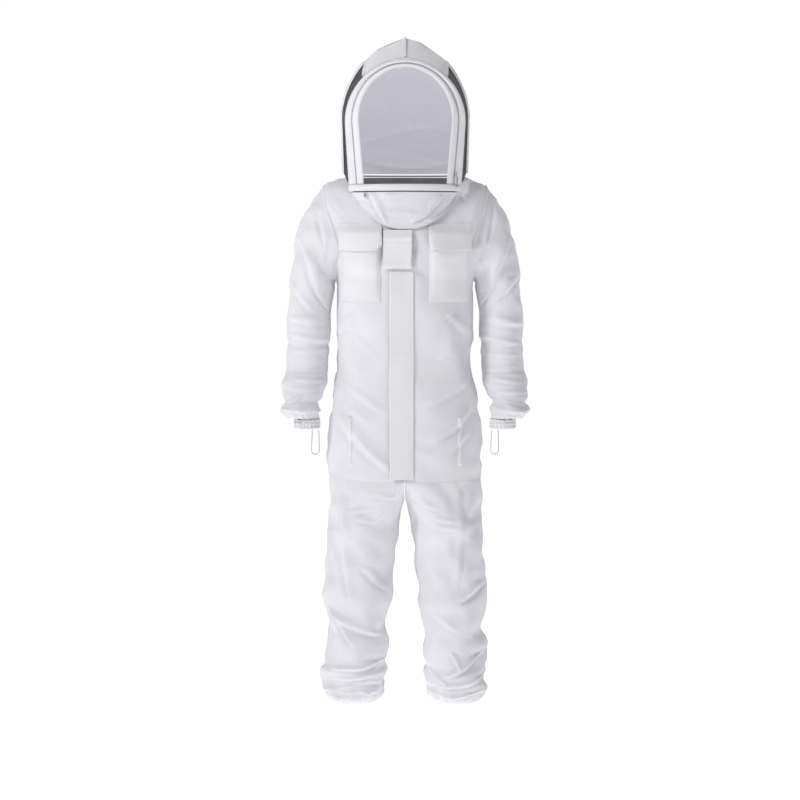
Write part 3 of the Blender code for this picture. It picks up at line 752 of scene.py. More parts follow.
def placket():
    free, sewn, low, high = PLACKET
    P, N, u, v = laid(free, sewn, low, high, 26, 150, 4)
    lift = 0.0100 - 0.0062 * u + 0.0016 * noise(150, 26, 9, 5, False) * (1 - u)
    lift -= 0.0022 * np.exp(-(u * 0.0625 / 0.0016) ** 2)
    P = P + N * lift[..., None]
    N = again(P)
    flap = piece("placket_cloth", [shell(P, N, thick=0.0014)], TRIM, "placket", ["placket_flap"])
    sew = [stitches(P[:, c], N[:, c], lift=0.0002) for c in (2, 21, 24)]
    sew += [stitches(P[r], N[r], lift=0.0002) for r in (2, -3)]
    seams = piece("placket_stitching", sew, THREAD, "placket")


placket()
P, N, u, v = laid(PLACKET[0], PLACKET[1], 1.160, 1.222, 24, 24, 3)
P = P + N * (0.0072 - 0.0044 * u - 0.0016 * np.exp(-(u * 0.0625 / 0.0016) ** 2) - 0.003 * (1 - smooth(v / 0.25)))[..., None]
N = again(P)
parts = [shell(P, N, thick=0.0012), stitches(P[:, 2], N[:, 2]), stitches(P[:, 20], N[:, 20])]
piece("placket_head_cloth", parts, TRIM, "torso")


def throat_tab():
    right, left, low, high = THROAT_TAB
    P, N, u, v = laid(right, left, low, high, 40, 52, 4)
    edge = np.minimum(np.minimum(u, 1 - u) * 0.076, v * 0.099)
    lift = 0.0150 - 0.0060 * smooth((v - 0.80) / 0.2) - 0.0014 * np.exp(-((edge / 0.0014) ** 2))
    lift += 0.0007 * np.exp(-(((v - 0.10) * 0.099 / 0.006) ** 4)) + 0.0010 * noise(52, 40, 6, 8, False)
    lift -= 0.0016 * np.exp(-(((v - 0.72) * 0.099 / 0.0035) ** 2)) - 0.0013 * np.exp(-(((v - 0.78) * 0.099 / 0.005) ** 2))
    P = P + N * lift[..., None]
    N = again(P)
    tab = piece("throat_tab_cloth", [shell(P, N, thick=0.0016)], TRIM, None, ["throat_tab"])
    sew = [stitches(P[r, 1:-1], N[r, 1:-1]) for r in (2, 10)] + [stitches(P[1:40, c], N[1:40, c]) for c in (1, -2)]
    seams = piece("throat_tab_stitching", sew, THREAD, None)
    for thing in (tab, seams):
        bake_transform(thing)


throat_tab()


def chest_pocket(name, side):
    inner, outer, low, high = CHEST_POCKET
    P, N, u, v = laid(side * inner, side * outer, low, high, 48, 62, 3)
    across, up = np.maximum(np.sin(math.pi * u), 0), v
    edge = np.minimum(np.minimum(u, 1 - u) * 0.105, v * 0.145)
    lift = 0.0026 + 0.0100 * across**0.5 * np.minimum(up * 3, 1) ** 0.7 * smooth(edge / 0.012)
    lift -= 0.0018 * (1 - smooth(edge / 0.0022))
    lift += 0.0014 * noise(62, 48, 5, 11 + side, False) * smooth(edge / 0.02)
    P = P + N * lift[..., None]
    N = again(P)
    parts = [shell(P, N, thick=0.0012)]
    for c in (1, 4, -2, -5):
        parts.append(stitches(P[1:, c], N[1:, c]))
    for r in (1, 4):
        parts.append(stitches(P[r, 1:-1], N[r, 1:-1]))
    parts.append(strip(P[-4, 1:-1], N[-4, 1:-1], 0.012, 0.0009))
    parts.append(stitches(P[-6, 1:-1], N[-6, 1:-1], lift=0.0012))
    piece(f"chest_pocket_cloth_{name}", parts, TRIM, "torso", [f"chest_pocket_{name}"])


def pocket_flap(name, side):
    inner, outer, low, high = CHEST_FLAP
    P, N, u, v = laid(side * inner, side * outer, low, high, 56, 34, 4)
    edge = np.minimum(np.minimum(u, 1 - u) * 0.114, v * 0.068)
    stand = 0.0190 - 0.0130 * u**4
    lift = 0.0008 + (stand - 0.0008) * smooth((1 - v) / 0.42)
    lift += 0.0012 * np.sin(u * 5.0 + side) * (1 - v) - 0.0012 * np.exp(-((edge / 0.0015) ** 2))
    lift -= 0.0035 * np.exp(-((u / 0.05) ** 2)) * smooth(1 - v)
    P = P + N * lift[..., None]
    corner = np.exp(-((u * 0.114 / 0.011) ** 2) - ((v * 0.068 / 0.011) ** 2))
    P[..., 2] += corner * 0.006
    P[..., 0] += side * corner * 0.004
    P[..., 2] -= 0.0028 * np.sin(u * math.pi) * (1 - v)
    N = again(P)
    flap = piece(f"pocket_flap_cloth_{name}", [shell(P, N, thick=0.0014)], TRIM, None, [f"pocket_flap_{name}"])
    sew = [stitches(P[2, 1:-1], N[2, 1:-1]), stitches(P[2:-1, 1], N[2:-1, 1]), stitches(P[2:-1, -2], N[2:-1, -2])]
    sew += [stitches(P[-2, 1:-1], N[-2, 1:-1]), stitches(P[-5, 1:-1], N[-5, 1:-1])]
    seams = piece(f"pocket_flap_stitching_{name}", sew, THREAD, None)
    for thing in (flap, seams):
        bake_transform(thing)


def hip_welt(name, side):
    inner, outer, low, high = HIP_WELT
    P, N, u, v = laid(side * inner, side * outer, low, high, 12, 60, 2)
    edge = np.minimum(np.minimum(u, 1 - u) * 0.012, np.minimum(v, 1 - v) * 0.13)
    P = P + N * (0.0006 + 0.0026 * smooth(edge / 0.0035))[..., None]
    N = again(P)
    parts = [shell(P, N, thick=0.0008)]
    for c in (2, 9):
        parts.append(stitches(P[1:-1, c], N[1:-1, c]))
    piece(f"hip_welt_cloth_{name}", parts, TRIM, "torso", [f"hip_pocket_welt_{name}"])


for name, side in SIDES:
    chest_pocket(name, side)
    pocket_flap(name, side)
    hip_welt(name, side)


# ---- sleeves ---------------------------------------------------------------------------------------
SLEEVE_FOLDS = {
    -1: (
        (-0.308, 1.046, -0.176, 1.040, 0.014, 0.0060),
        (-0.306, 1.008, -0.181, 0.986, 0.011, 0.0085),
        (-0.297, 0.966, -0.205, 0.968, 0.008, 0.0035),
        (-0.262, 0.918, -0.214, 0.944, 0.008, 0.0040),
        (-0.300, 0.892, -0.220, 0.886, 0.008, 0.0045),
        (-0.312, 0.868, -0.238, 0.862, 0.008, 0.0040),
        (-0.315, 0.832, -0.270, 0.846, 0.007, 0.0045),
        (-0.330, 0.806, -0.250, 0.800, 0.008, 0.0050),
        (-0.280, 1.236, -0.199, 1.053, 0.022, 0.0060),
        (-0.308, 1.134, -0.250, 1.062, 0.014, 0.0040),
        (-0.232, 1.358, -0.217, 1.250, 0.016, 0.0040),
    ),
    1: (
        (0.308, 1.030, 0.180, 1.052, 0.014, 0.0060),
        (0.306, 0.985, 0.184, 1.006, 0.011, 0.0085),
        (0.300, 0.955, 0.210, 0.962, 0.008, 0.0035),
        (0.300, 0.925, 0.216, 0.914, 0.009, 0.0050),
        (0.310, 0.880, 0.230, 0.896, 0.008, 0.0045),
        (0.318, 0.856, 0.240, 0.858, 0.008, 0.0045),
        (0.322, 0.826, 0.255, 0.836, 0.007, 0.0045),
        (0.330, 0.804, 0.240, 0.802, 0.008, 0.0050),
        (0.282, 1.240, 0.203, 1.075, 0.022, 0.0060),
        (0.306, 1.150, 0.240, 1.085, 0.014, 0.0040),
        (0.236, 1.352, 0.220, 1.250, 0.016, 0.0040),
    ),
}
SLEEVE_BACK = (
    (0.300, 1.010, 0.190, 1.040, 0.016, 0.0060),
    (0.300, 0.975, 0.200, 0.955, 0.012, 0.0060),
    (0.305, 0.915, 0.220, 0.925, 0.010, 0.0050),
    (0.315, 0.850, 0.240, 0.866, 0.009, 0.0045),
    (0.285, 1.250, 0.210, 1.120, 0.022, 0.0060),
)
SLEEVE_RINGS = ((1.045, 0.003, 0.016), (0.990, -0.004, 0.010), (0.885, 0.006, 0.020), (0.834, -0.006, 0.010), (0.806, 0.008, 0.010))


def ease(P, rounds=18):
    """Open out only the creases that turn back too sharply down the cloth."""
    P = P.copy()
    for _ in range(rounds):
        way = unit(np.diff(P, axis=0))
        turn = (way[1:] * way[:-1]).sum(-1)
        share = 0.5 * smooth((0.86 - turn) / 0.4)[..., None]
        P[1:-1] += share * ((P[:-2] + P[2:]) / 2 - P[1:-1])
    return P


def sleeve(name, side):
    cols, rows = 84, 150
    a = np.linspace(0, 2 * math.pi, cols, endpoint=False)
    first, last, _ = ARMHOLE
    place = (first + last) / 2 - (last - first) / 2 * np.cos(a)
    place = np.clip(place, first + 0.001, last - 0.001)
    angle = armhole(place)
    opening = torso_points(place, np.where(np.sin(a) < 0, -angle, angle))
    top = ring(*UPPER_SLEEVE[0], cols, ARM_SLANT)
    keys = [opening, opening + (top - opening) * 0.33 + np.array((0.006, 0, 0)), opening + (top - opening) * 0.67 + np.array((0.004, 0, 0))]
    for p in np.linspace(0, 2, 6):
        keys.append(ring(*between(UPPER_SLEEVE, p), cols, ARM_SLANT * (1 - p / 2) ** 1.5))
    for p in np.linspace(0, 4, 9):
        keys.append(ring(*between(FOREARM, p), cols))
    P, _ = tube(keys, rows)
    soft_p = P.copy()
    for _ in range(3):
        up = np.concatenate([np.repeat(soft_p[:1], 6, 0), soft_p, np.repeat(soft_p[-1:], 6, 0)])
        soft_p = sum(up[k : k + rows] for k in range(13)) / 13
    share = np.arange(rows)
    keep = (smooth(share / 12.0) * smooth((75 - share) / 20.0))[:, None, None]
    P = P + (soft_p - P) * keep
    outer = smooth(np.cos(a)[None] * 1.2) * (smooth((share - 8) / 16.0) * smooth((66 - share) / 28.0))[:, None]
    P[..., 0] -= 0.010 * outer
    P[..., 0] *= side
    N = normals(P, True)
    h = P[..., 2] + NECK
    row_h = h.mean(1)
    free = smooth(np.arange(rows) / 10.0)[:, None] * smooth((rows - 1 - np.arange(rows)) / 4.0)[:, None]
    lift = folds(P, N, SLEEVE_FOLDS[side]) + folds(P, N, [(side * l[0], l[1], side * l[2], *l[3:]) for l in SLEEVE_BACK], 1.0)
    wander = noise(rows, cols, 7, 31 + side)
    for height, size, width in SLEEVE_RINGS:
        lift += size * np.exp(-(((h - height + 0.012 * wander) / width) ** 2)) * (0.75 + 0.5 * wander)
    gather = np.cos(a * 17 + 2.0 * np.sin(a * 3)) * np.exp(-((h - 0.784) / 0.012) ** 2)
    toward = -N[..., 0] * side
    armpit = smooth(toward * 1.3) * smooth((h - 1.0) / 0.06) * smooth((1.26 - h) / 0.05)
    lift = np.where(lift > 0, lift * (1 - 0.9 * armpit), lift)
    P = P + N * (lift * free + 0.0022 * gather)[..., None]
    longer = 1.03 + 0.09 * smooth((1.08 - row_h) / 0.12)
    soft = 0.04 - 0.02 * smooth((1.08 - row_h) / 0.12)
    most = 0.007 + 0.002 * smooth((1.08 - row_h) / 0.1)
    before = P
    P = crumpled_tube(P, longer, 1.02, soft, most, 40 + side, 1.2, 20, 16)
    move = P - before
    outward = np.maximum((move * N).sum(2), 0)
    P = ease(P - N * (outward * armpit * 0.9)[..., None])
    N = normals(P, True)
    split = int(np.argmin(np.abs(row_h - 1.045)))
    under = cols // 2
    seam = P[:, under], N[:, under]

    def line(rows_):
        path, out = seam[0][rows_], seam[1][rows_]
        return [strip(path, out, 0.008, 0.0010), stitches(path + np.array((0, 0.0025, 0)), out, lift=0.0011)]

    round_path, round_out = np.concatenate([P[1], P[1][:1]]), np.concatenate([N[1], N[1][:1]])
    upper_parts = [shell(P[: split + 1], N[: split + 1], True)] + line(slice(0, split + 1))
    upper_parts += [strip(round_path, round_out, 0.009, 0.0016)]
    for r in (3, 5):
        ring_path = np.concatenate([P[r], P[r][:1]])
        upper_parts.append(stitches(ring_path, np.concatenate([N[r], N[r][:1]]), lift=0.0006))
    upper = piece(f"upper_sleeve_cloth_{name}", upper_parts, COTTON, None, [f"sleeve_head_{name}", f"upper_sleeve_{name}"])
    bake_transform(upper)
    lower_parts = [shell(P[split:], N[split:], True)] + line(slice(split, None))
    lower = piece(f"forearm_cloth_{name}", lower_parts, COTTON, None, [f"elbow_fold_{name}", f"forearm_sleeve_{name}"])
    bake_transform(lower)


def gathered_ring(name, spec, wide_y, side, body, node, count, seed):
    """A ruffled ring of cloth drawn in by rows of elastic."""
    x, y, radius, low, high = spec
    rows, cols = 26, 260
    a = np.linspace(0, 2 * math.pi, cols, endpoint=False)
    v = np.linspace(0, 1, rows)[:, None]
    wander = noise(rows, cols, 6, seed)
    ruffle = np.cos(a * count + 1.5 * np.sin(a * 5) + 2.0 * wander)
    channel = np.abs(np.sin(v * math.pi * 3))
    out = 0.0013 * ruffle * (0.5 + 0.5 * channel) + 0.0016 * channel + 0.0012 * wander
    out = out - 0.0008 * (1 - smooth(np.minimum(v, 1 - v) / 0.06))
    tuck = 0.0030 * smooth((v - 0.84) / 0.16)
    r = radius + out - tuck
    P = at(x + r * np.cos(a), y + (r + wide_y) * np.sin(a), low + (high + 0.005 - low) * v + 0.0012 * wander * np.sin(math.pi * v))
    P[..., 0] *= side
    N = normals(P, True)
    piece(f"{name}", [shell(P, N, True, 0.0014)], ELASTIC, body, [node])


def thumb_loop(name, side):
    half, drop, width = THUMB_LOOP
    x, y, radius, low, _ = CUFF
    cx, top = side * (x - radius + half + 0.002), low - 0.0045
    straight = drop - half
    down = np.linspace(0, straight, 26)
    arc = np.linspace(0, math.pi, 30)[1:-1]
    px = np.concatenate([np.full(26, half), half * np.cos(arc), np.full(26, -half)])
    pz = np.concatenate([-down, -straight - half * np.sin(arc), -down[::-1]])
    n = len(px)
    t = np.linspace(0, 1, n)
    w = np.linspace(-1, 1, 11)
    rib = 0.00030 * np.cos(w * math.pi * 5)
    P = np.zeros((n, 11, 3))
    P[..., 0] = cx + px[:, None] + 0.0012 * np.sin(t * 7)[:, None]
    P[..., 1] = y + w * width / 2 + 0.0020 * np.sin(t * math.pi)[:, None]
    P[..., 2] = top - NECK + pz[:, None]
    N = normals(P, False, np.array((cx, y, top - straight / 2 - NECK)))
    P = P + N * rib[None, :, None]
    N = normals(P, False, np.array((cx, y, top - straight / 2 - NECK)))
    parts = [shell(P, N, thick=0.0011)]
    for c in (1, 9):
        parts.append(stitches(P[:, c], N[:, c], 0.0032, 0.0020, 0.0003))
    piece(f"thumb_loop_band_{name}", parts, CREAM, f"thumb_loop_{name}", [f"thumb_loop_{name}"])


for name, side in SIDES:
    sleeve(name, side)
    gathered_ring(f"cuff_{name}", CUFF, 0.0, side, f"forearm_{name}", f"cuff_elastic_{name}", 27, 60 + side)
    thumb_loop(name, side)


# ---- trousers --------------------------------------------------------------------------------------
LEG_FOLDS = {
    -1: (
        (-0.208, 0.262, -0.150, 0.180, 0.013, 0.0090),
        (-0.196, 0.246, -0.072, 0.196, 0.014, 0.0060),
        (-0.198, 0.104, -0.056, 0.124, 0.010, 0.0090),
        (-0.187, 0.074, -0.092, 0.086, 0.008, 0.0055),
        (-0.183, 0.048, -0.136, 0.058, 0.006, 0.0050),
        (-0.124, 0.040, -0.096, 0.028, 0.006, 0.0045),
        (-0.170, 0.034, -0.130, 0.036, 0.005, 0.0040),
        (-0.143, 0.534, -0.076, 0.540, 0.009, 0.0025),
        (-0.135, 0.516, -0.080, 0.500, 0.010, 0.0028),
        (-0.083, 0.580, -0.012, 0.566, 0.010, 0.0035),
        (-0.078, 0.504, -0.018, 0.550, 0.011, 0.0038),
        (-0.164, 0.600, -0.152, 0.290, 0.013, 0.0045),
        (-0.120, 0.380, -0.060, 0.320, 0.016, 0.0040),
    ),
    1: (
        (0.122, 0.158, 0.142, 0.110, 0.010, 0.0060),
        (0.116, 0.088, 0.210, 0.142, 0.011, 0.0080),
        (0.096, 0.056, 0.226, 0.080, 0.010, 0.0085),
        (0.103, 0.020, 0.215, 0.035, 0.007, 0.0050),
        (0.058, 0.100, 0.110, 0.066, 0.009, 0.0060),
        (0.070, 0.512, 0.135, 0.506, 0.010, 0.0030),
        (0.085, 0.488, 0.140, 0.486, 0.009, 0.0024),
        (0.012, 0.566, 0.080, 0.540, 0.010, 0.0032),
        (0.018, 0.535, 0.076, 0.480, 0.012, 0.0032),
        (0.146, 0.620, 0.143, 0.330, 0.012, 0.0040),
        (0.150, 0.290, 0.215, 0.330, 0.018, 0.0060),
        (0.070, 0.250, 0.130, 0.215, 0.016, 0.0040),
    ),
}
LEG_BACK = (
    (0.030, 0.540, 0.130, 0.500, 0.016, 0.0060),
    (0.060, 0.480, 0.170, 0.520, 0.016, 0.0050),
    (0.060, 0.330, 0.190, 0.290, 0.016, 0.0070),
    (0.070, 0.270, 0.190, 0.250, 0.014, 0.0060),
    (0.080, 0.150, 0.200, 0.120, 0.012, 0.0080),
    (0.080, 0.090, 0.200, 0.100, 0.010, 0.0080),
    (0.090, 0.050, 0.190, 0.060, 0.008, 0.0060),
)


def leg(name, side):
    cols, rows = 96, 176
    a = np.linspace(0, 2 * math.pi, cols, endpoint=False)
    c, s = np.cos(a), np.sin(a)
    last = len(TORSO) - 1
    seat = torso_points(np.full(cols, float(last)), a)
    depth = np.where(s < 0, -TORSO[last][2], TORSO[last][4])
    inner = at(0.0010, depth * power(s, SQUARENESS), CROTCH + (TORSO[last][1] - CROTCH) * np.abs(s) ** 2)
    seat = np.where((c > 1e-6)[:, None], seat, inner)
    seat[:, 0] = np.maximum(seat[:, 0], 0.0010)
    keys = [seat]
    rings = []
    for p in np.linspace(0, len(LEG) - 1, 15):
        height, x, half, front_y, back_y = between(LEG, p)
        d = np.where(s < 0, -front_y, back_y)
        rings.append(at(x + half * c, d * power(s, 0.92), height))
    keys += [seat + (rings[0] - seat) * f for f in (0.33, 0.67)] + rings
    P, _ = tube(keys, rows)
    P[..., 0] = np.maximum(P[..., 0], 0.0009) * side
    N = normals(P, True)
    h = P[..., 2] + NECK
    row_h = h.mean(1)
    lines = LEG_FOLDS[side]
    if side < 0:
        hips = [line for line in TORSO_FOLDS if line[0] < -0.1]
    else:
        hips = [line for line in TORSO_FOLDS if line[0] > 0.1]
    lift = folds(P, N, lines) + folds(P, N, hips)
    lift += folds(P, N, [(side * l[0], l[1], side * l[2], *l[3:]) for l in LEG_BACK], 1.0)
    wander = noise(rows, cols, 8, 71 + side)
    for height, size, width in ((0.290, 0.004, 0.030), (0.205, -0.004, 0.022), (0.092, 0.003, 0.012), (0.060, -0.002, 0.007), (0.038, 0.003, 0.008)):
        lift += size * np.exp(-(((h - height + 0.022 * wander) / width) ** 2)) * (0.7 + 0.6 * wander)
    free = smooth(np.arange(rows) / 6.0)[:, None] * smooth((rows - 1 - np.arange(rows)) / 4.0)[:, None]
    inside = smooth(-N[..., 0] * side * 1.5) * smooth((h - 0.44) / 0.06)
    lift = np.where(lift > 0, lift * (1 - 0.9 * inside), lift)
    gather = np.cos(a * 21 + 2.0 * np.sin(a * 4)) * np.exp(-(np.maximum(h - 0.006, 0) / 0.022) ** 1.5)
    P = P + N * (lift * free + 0.0024 * gather * free)[..., None]
    longer = 1.022 + 0.075 * smooth((0.34 - row_h) / 0.30) ** 1.4
    soft = 0.07 - 0.045 * smooth((0.34 - row_h) / 0.2)
    most = 0.0065 + 0.0055 * smooth((0.34 - row_h) / 0.2) * smooth((row_h - 0.01) / 0.05)
    before = P
    P = crumpled_tube(P, longer, 1.018, soft, most, 80 + side, 1.6, 22, 16, 3)
    move = P - before
    outward = np.maximum((move * N).sum(2), 0)
    P = P - N * (outward * inside * 0.9)[..., None]
    P = ease(P)
    P[..., 0] = side * np.maximum(P[..., 0] * side, 0.0007)
    P[..., 2] = np.maximum(P[..., 2], 0.0012 - NECK)
    N = normals(P, True)
    P[0] += np.array((0, 0, 0.005)) - N[0] * 0.0012
    N = normals(P, True)
    parts = [shell(P, N, True)]
    for col, off in ((0, 0.0), (cols // 2, 0.0)):
        rows_ = slice(3, rows - 2)
        path, out = P[rows_, col], N[rows_, col]
        parts.append(strip(path, out, 0.008, 0.0010))
        parts.append(stitches(path + np.array((0, 0.0025, 0)), out, lift=0.0011))
        parts.append(stitches(path - np.array((0, 0.0025, 0)), out, lift=0.0011))
    thing = piece(f"trouser_leg_cloth_{name}", parts, COTTON, None, [f"trouser_seat_{name}", f"trouser_leg_{name}"])
    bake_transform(thing)


for name, side in SIDES:
    leg(name, side)
    gathered_ring(f"hem_{name}", HEM_ELASTIC, 0.012, side, f"leg_{name}", f"hem_elastic_{name}", 41, 90 + side)


# ---- hood ------------------------------------------------------------------------------------------
def arch_grid(arch_from, arch_to, along_from, along_to, rows, cols):
    v, u = np.meshgrid(np.linspace(0, 1, rows), np.linspace(0, 1, cols), indexing="ij")
    P = hood_points(arch_from + (arch_to - arch_from) * v, along_from + (along_to - along_from) * u)
    return P, normals(P, False, HEAD), u, v


def channel(name, arches, along, body, node, cols, bulge, rows=22, material=TRIM, rise=0.0):
    """A sewn channel: a rounded sleeve for a stay, between two flat stitched margins."""
    P, N, u, v = arch_grid(*arches, *along, rows, cols)
    full = np.sin(math.pi * smooth((v - 0.16) / 0.68)) ** 0.8
    lift = rise + bulge * full + 0.0005 * noise(rows, cols, 3, 7, False) + 0.0004 * np.sin(u * 55) * full
    lift -= 0.0009 * (1 - smooth(np.minimum(v, 1 - v) / 0.08))
    P = P + N * lift[..., None]
    N = normals(P, False, HEAD)
    parts = [shell(P, N, thick=0.0012)]
    for r in (3, rows - 4):
        parts.append(stitches(P[r], N[r]))
    return piece(name, parts, material, body, [node] if node else ())


def net(name, arches, along, node, cols, rows=30, sag=0.0035):
    P, N, u, v = arch_grid(*arches, *along, rows, cols)
    taut = np.sin(math.pi * v) * np.sin(math.pi * np.clip(u, 0.02, 0.98)) ** 0.5
    P = P - N * (sag * taut + 0.0012 * noise(rows, cols, 5, 9, False) * taut)[..., None]
    N = normals(P, False, HEAD)
    piece(name, [shell(P, N, thick=0.0005)], SIDE_NET, "hood", [node])


channel("front_hoop_cloth", (1.05, 1.975), (0.0, 1.0), "hood", "front_hoop_channel", 240, 0.0042)
for name, side in SIDES:
    e = 0.0025
    span = (e, CROWN_FROM - e) if side > 0 else (1 - CROWN_FROM + e, 1 - e)
    net(f"side_net_front_cloth_{name}", (1.985, 3.01), span, f"side_net_front_{name}", 90)
    channel(f"rear_hoop_cloth_{name}", (3.0, 3.985), span, "hood", f"rear_hoop_channel_{name}", 110, 0.0034, 16, rise=0.0006)
    net(f"side_net_rear_cloth_{name}", (3.975, 4.99), span, f"side_net_rear_{name}", 90)


def crown(name, side):
    top = (CROWN_FROM, 0.5) if side > 0 else (0.5, 1 - CROWN_FROM)
    P, N, u, v = arch_grid(2.0, 4.985, *top, 84, 60)
    ridge = (1 - u if side > 0 else u) * 0.22
    edge = np.minimum(v, 1 - v)
    lift = 0.0030 * np.exp(-((ridge / 0.012) ** 2)) - 0.0040 * np.sin(math.pi * np.clip(ridge / 0.22, 0, 1)) * np.sin(math.pi * v)
    lift += 0.0022 * noise(84, 60, 6, 21 + side, False) * smooth(edge / 0.1)
    lift += 0.0016 * np.sin(u * 9 + v * 4) * np.sin(math.pi * v) * smooth(ridge / 0.05)
    P = P + N * lift[..., None]
    P[..., 0] = side * np.maximum(P[..., 0] * side, 0.0003)
    N = normals(P, False, HEAD)
    low, mid = (0, -1) if side > 0 else (-1, 0)
    N[:, mid, 0] = 0
    N = unit(N)
    parts = [shell(P, N)]
    inner = 3 if side > 0 else -4
    parts.append(strip(P[2:-2, low], N[2:-2, low], 0.009, 0.0014))
    parts.append(stitches(P[2:-2, low], N[2:-2, low], lift=0.0015))
    parts.append(stitches(P[2:-2, -3 if side > 0 else 2], N[2:-2, -3 if side > 0 else 2], lift=0.0004))
    parts.append(stitches(P[3], N[3]))
    piece(f"crown_cloth_{name}", parts, COTTON, "hood", [f"crown_{name}"])
    return P[:, mid], N[:, mid]


ridge = [crown(name, side) for name, side in SIDES][0]
path = ridge[0] * np.array((0, 1, 1))
piece("crown_seam", [strip(path, ridge[1], 0.0055, 0.0012), stitches(path, ridge[1], lift=0.0013)], TRIM, "hood")


def hood_back():
    last = len(ARCHES) - 1
    rows, cols = 96, 120
    near = np.linspace(0.0, 0.494, rows)
    edge = hood_points(last + 0.0, near)
    back = between(HOOD_BACK, near / 0.5 * (len(HOOD_BACK) - 1))
    angle = np.linspace(0, math.pi, cols)
    c, s = np.cos(angle)[None], np.sin(angle)[None]
    P = np.stack([
        edge[:, :1] * c,
        edge[:, 1:2] + (back[:, :1] - edge[:, 1:2]) * s,
        edge[:, 2:] + (back[:, 1:] - NECK - edge[:, 2:]) * s,
    ], -1)
    N = normals(P, False, HEAD)
    v, u = np.meshgrid(np.linspace(0, 1, rows), np.linspace(0, 1, cols), indexing="ij")
    calm = smooth(np.minimum(u, 1 - u) / 0.06) * smooth(v / 0.04)
    lift = 0.0045 * noise(rows, cols, 8, 23, False) + 0.0030 * noise(rows, cols, 4, 24, False)
    for height, size in ((0.10, -0.007), (0.17, 0.004), (0.30, -0.005), (0.47, -0.003)):
        lift += size * np.exp(-(((v - height - 0.05 * np.sin(u * 6 + height * 20)) / 0.025) ** 2))
    P = P + N * (lift * calm)[..., None]
    N = normals(P, False, HEAD)
    parts = [shell(P, N)]
    for col in (1, cols - 2):
        parts.append(strip(P[2:, col], N[2:, col], 0.009, 0.0012))
        parts.append(stitches(P[2:, col], N[2:, col], lift=0.0013))
    mid = cols // 2
    parts.append(strip(P[1:-6, mid], N[1:-6, mid], 0.008, 0.0012))
    for off in (-0.0026, 0.0026):
        parts.append(stitches(P[1:-6, mid] + np.array((off, 0, 0)), N[1:-6, mid], lift=0.0012))
    piece("hood_back_cloth", parts, GLOWING_LINER, "hood", ["hood_back"])


hood_back()


def chin_and_throat():
    a = np.radians(np.linspace(20, 160, 150))[None]
    h = np.linspace(*CHIN_BAND, 16)[:, None]
    P = chin_points(a + 0 * h, h + 0 * a)
    v = (h - CHIN_BAND[0]) / (CHIN_BAND[1] - CHIN_BAND[0]) + 0 * a
    N = normals(P, False, HEAD)
    P = P + N * (0.0028 * np.sin(math.pi * v) ** 0.7 + 0.0005 * noise(16, 150, 3, 26, False))[..., None]
    N = normals(P, False, HEAD)
    parts = [shell(P, N, thick=0.0014), stitches(P[3], N[3]), stitches(P[-4], N[-4])]
    piece("chin_band_cloth", parts, TRIM, "hood", ["chin_band"])
    rows, cols = 60, 150
    angle = np.radians(np.linspace(27, 153, cols))
    top = chin_points(angle, CHIN_BAND[0] - 0.0035)
    neck = torso_points(np.zeros(cols), -angle)
    foot = cast(neck[:, 0], neck[:, 2] + NECK - 0.014 * np.sin(angle) + 0)
    foot[:, 1] = blur(foot[:, 1][None], 3, False)[0] - 0.0050
    f = np.linspace(0, 1, rows)[:, None, None]
    P = top + (foot - top) * f
    N = normals(P, False, HEAD + np.array((0, 0, -0.3)))
    x, hh = P[..., 0], P[..., 2] + NECK
    lines = (
        (-0.098, 1.386, -0.056, 1.302, 0.012, 0.0065),
        (-0.060, 1.366, 0.010, 1.372, 0.012, 0.0030),
        (-0.050, 1.322, 0.030, 1.318, 0.012, 0.0035),
        (0.020, 1.300, 0.072, 1.332, 0.010, 0.0055),
        (0.066, 1.330, 0.100, 1.370, 0.011, 0.0050),
        (-0.125, 1.350, -0.090, 1.330, 0.010, 0.0035),
    )
    calm = smooth(f[..., 0] / 0.12) * smooth((1 - f[..., 0]) / 0.06)
    lift = (folds(P, N, lines) + 0.0030 * noise(rows, cols, 8, 27, False)) * calm
    lift += 0.0040 * smooth((f[..., 0] - 0.80) / 0.2) * (1 - 0.5 * np.exp(-((x / 0.06) ** 2)))
    P = P + N * lift[..., None]
    N = normals(P, False, HEAD + np.array((0, 0, -0.3)))
    parts = [shell(P, N, thick=0.0012), stitches(P[-3, 2:-2], N[-3, 2:-2]), stitches(P[-6, 2:-2], N[-6, 2:-2])]
    piece("throat_panel_cloth", parts, COTTON, "hood", ["throat_panel"])
    t = np.radians(np.linspace(-14, 194, 200))
    c, s = np.cos(t), np.sin(t)
    upper = at(0.158 * power(c, 0.9), np.where(s > 0, 0.119, 0.15) * s, 1.4335)
    lower = torso_points(np.zeros(len(t)), t) + np.stack([-0.003 * c, -0.003 * s, 0.0030 + 0 * c], 1)
    f = np.linspace(0, 1, 12)[:, None, None]
    P = upper + (lower - upper) * f
    N = normals(P, False, (0, 0, 0.03))
    P = P + N * (0.0022 * np.sin(math.pi * f[..., 0]) ** 0.7 + 0 * P[..., 0])[..., None]
    N = normals(P, False, (0, 0, 0.03))
    parts = [shell(P, N, thick=0.0012), stitches(P[2], N[2]), stitches(P[-3], N[-3])]
    piece("neck_band_cloth", parts, TRIM, "hood", ["neck_band"])


chin_and_throat()


# ---- veil ------------------------------------------------------------------------------------------
P, N, u, v = arch_grid(0.0, 0.965, 0.0, 1.0, 18, 240)
lift = 0.0022 * np.sin(math.pi * smooth(v)) ** 0.7 - 0.0008 * (1 - smooth(np.minimum(v, 1 - v) / 0.08)) + 0.0004 * noise(18, 240, 3, 33, False)
P = P + N * lift[..., None]
N = normals(P, False, HEAD)
parts = [shell(P, N, thick=0.0012)] + [stitches(P[r], N[r]) for r in (3, 14)]
piece("veil_band_cloth", parts, TRIM, "veil", ["veil_band"])

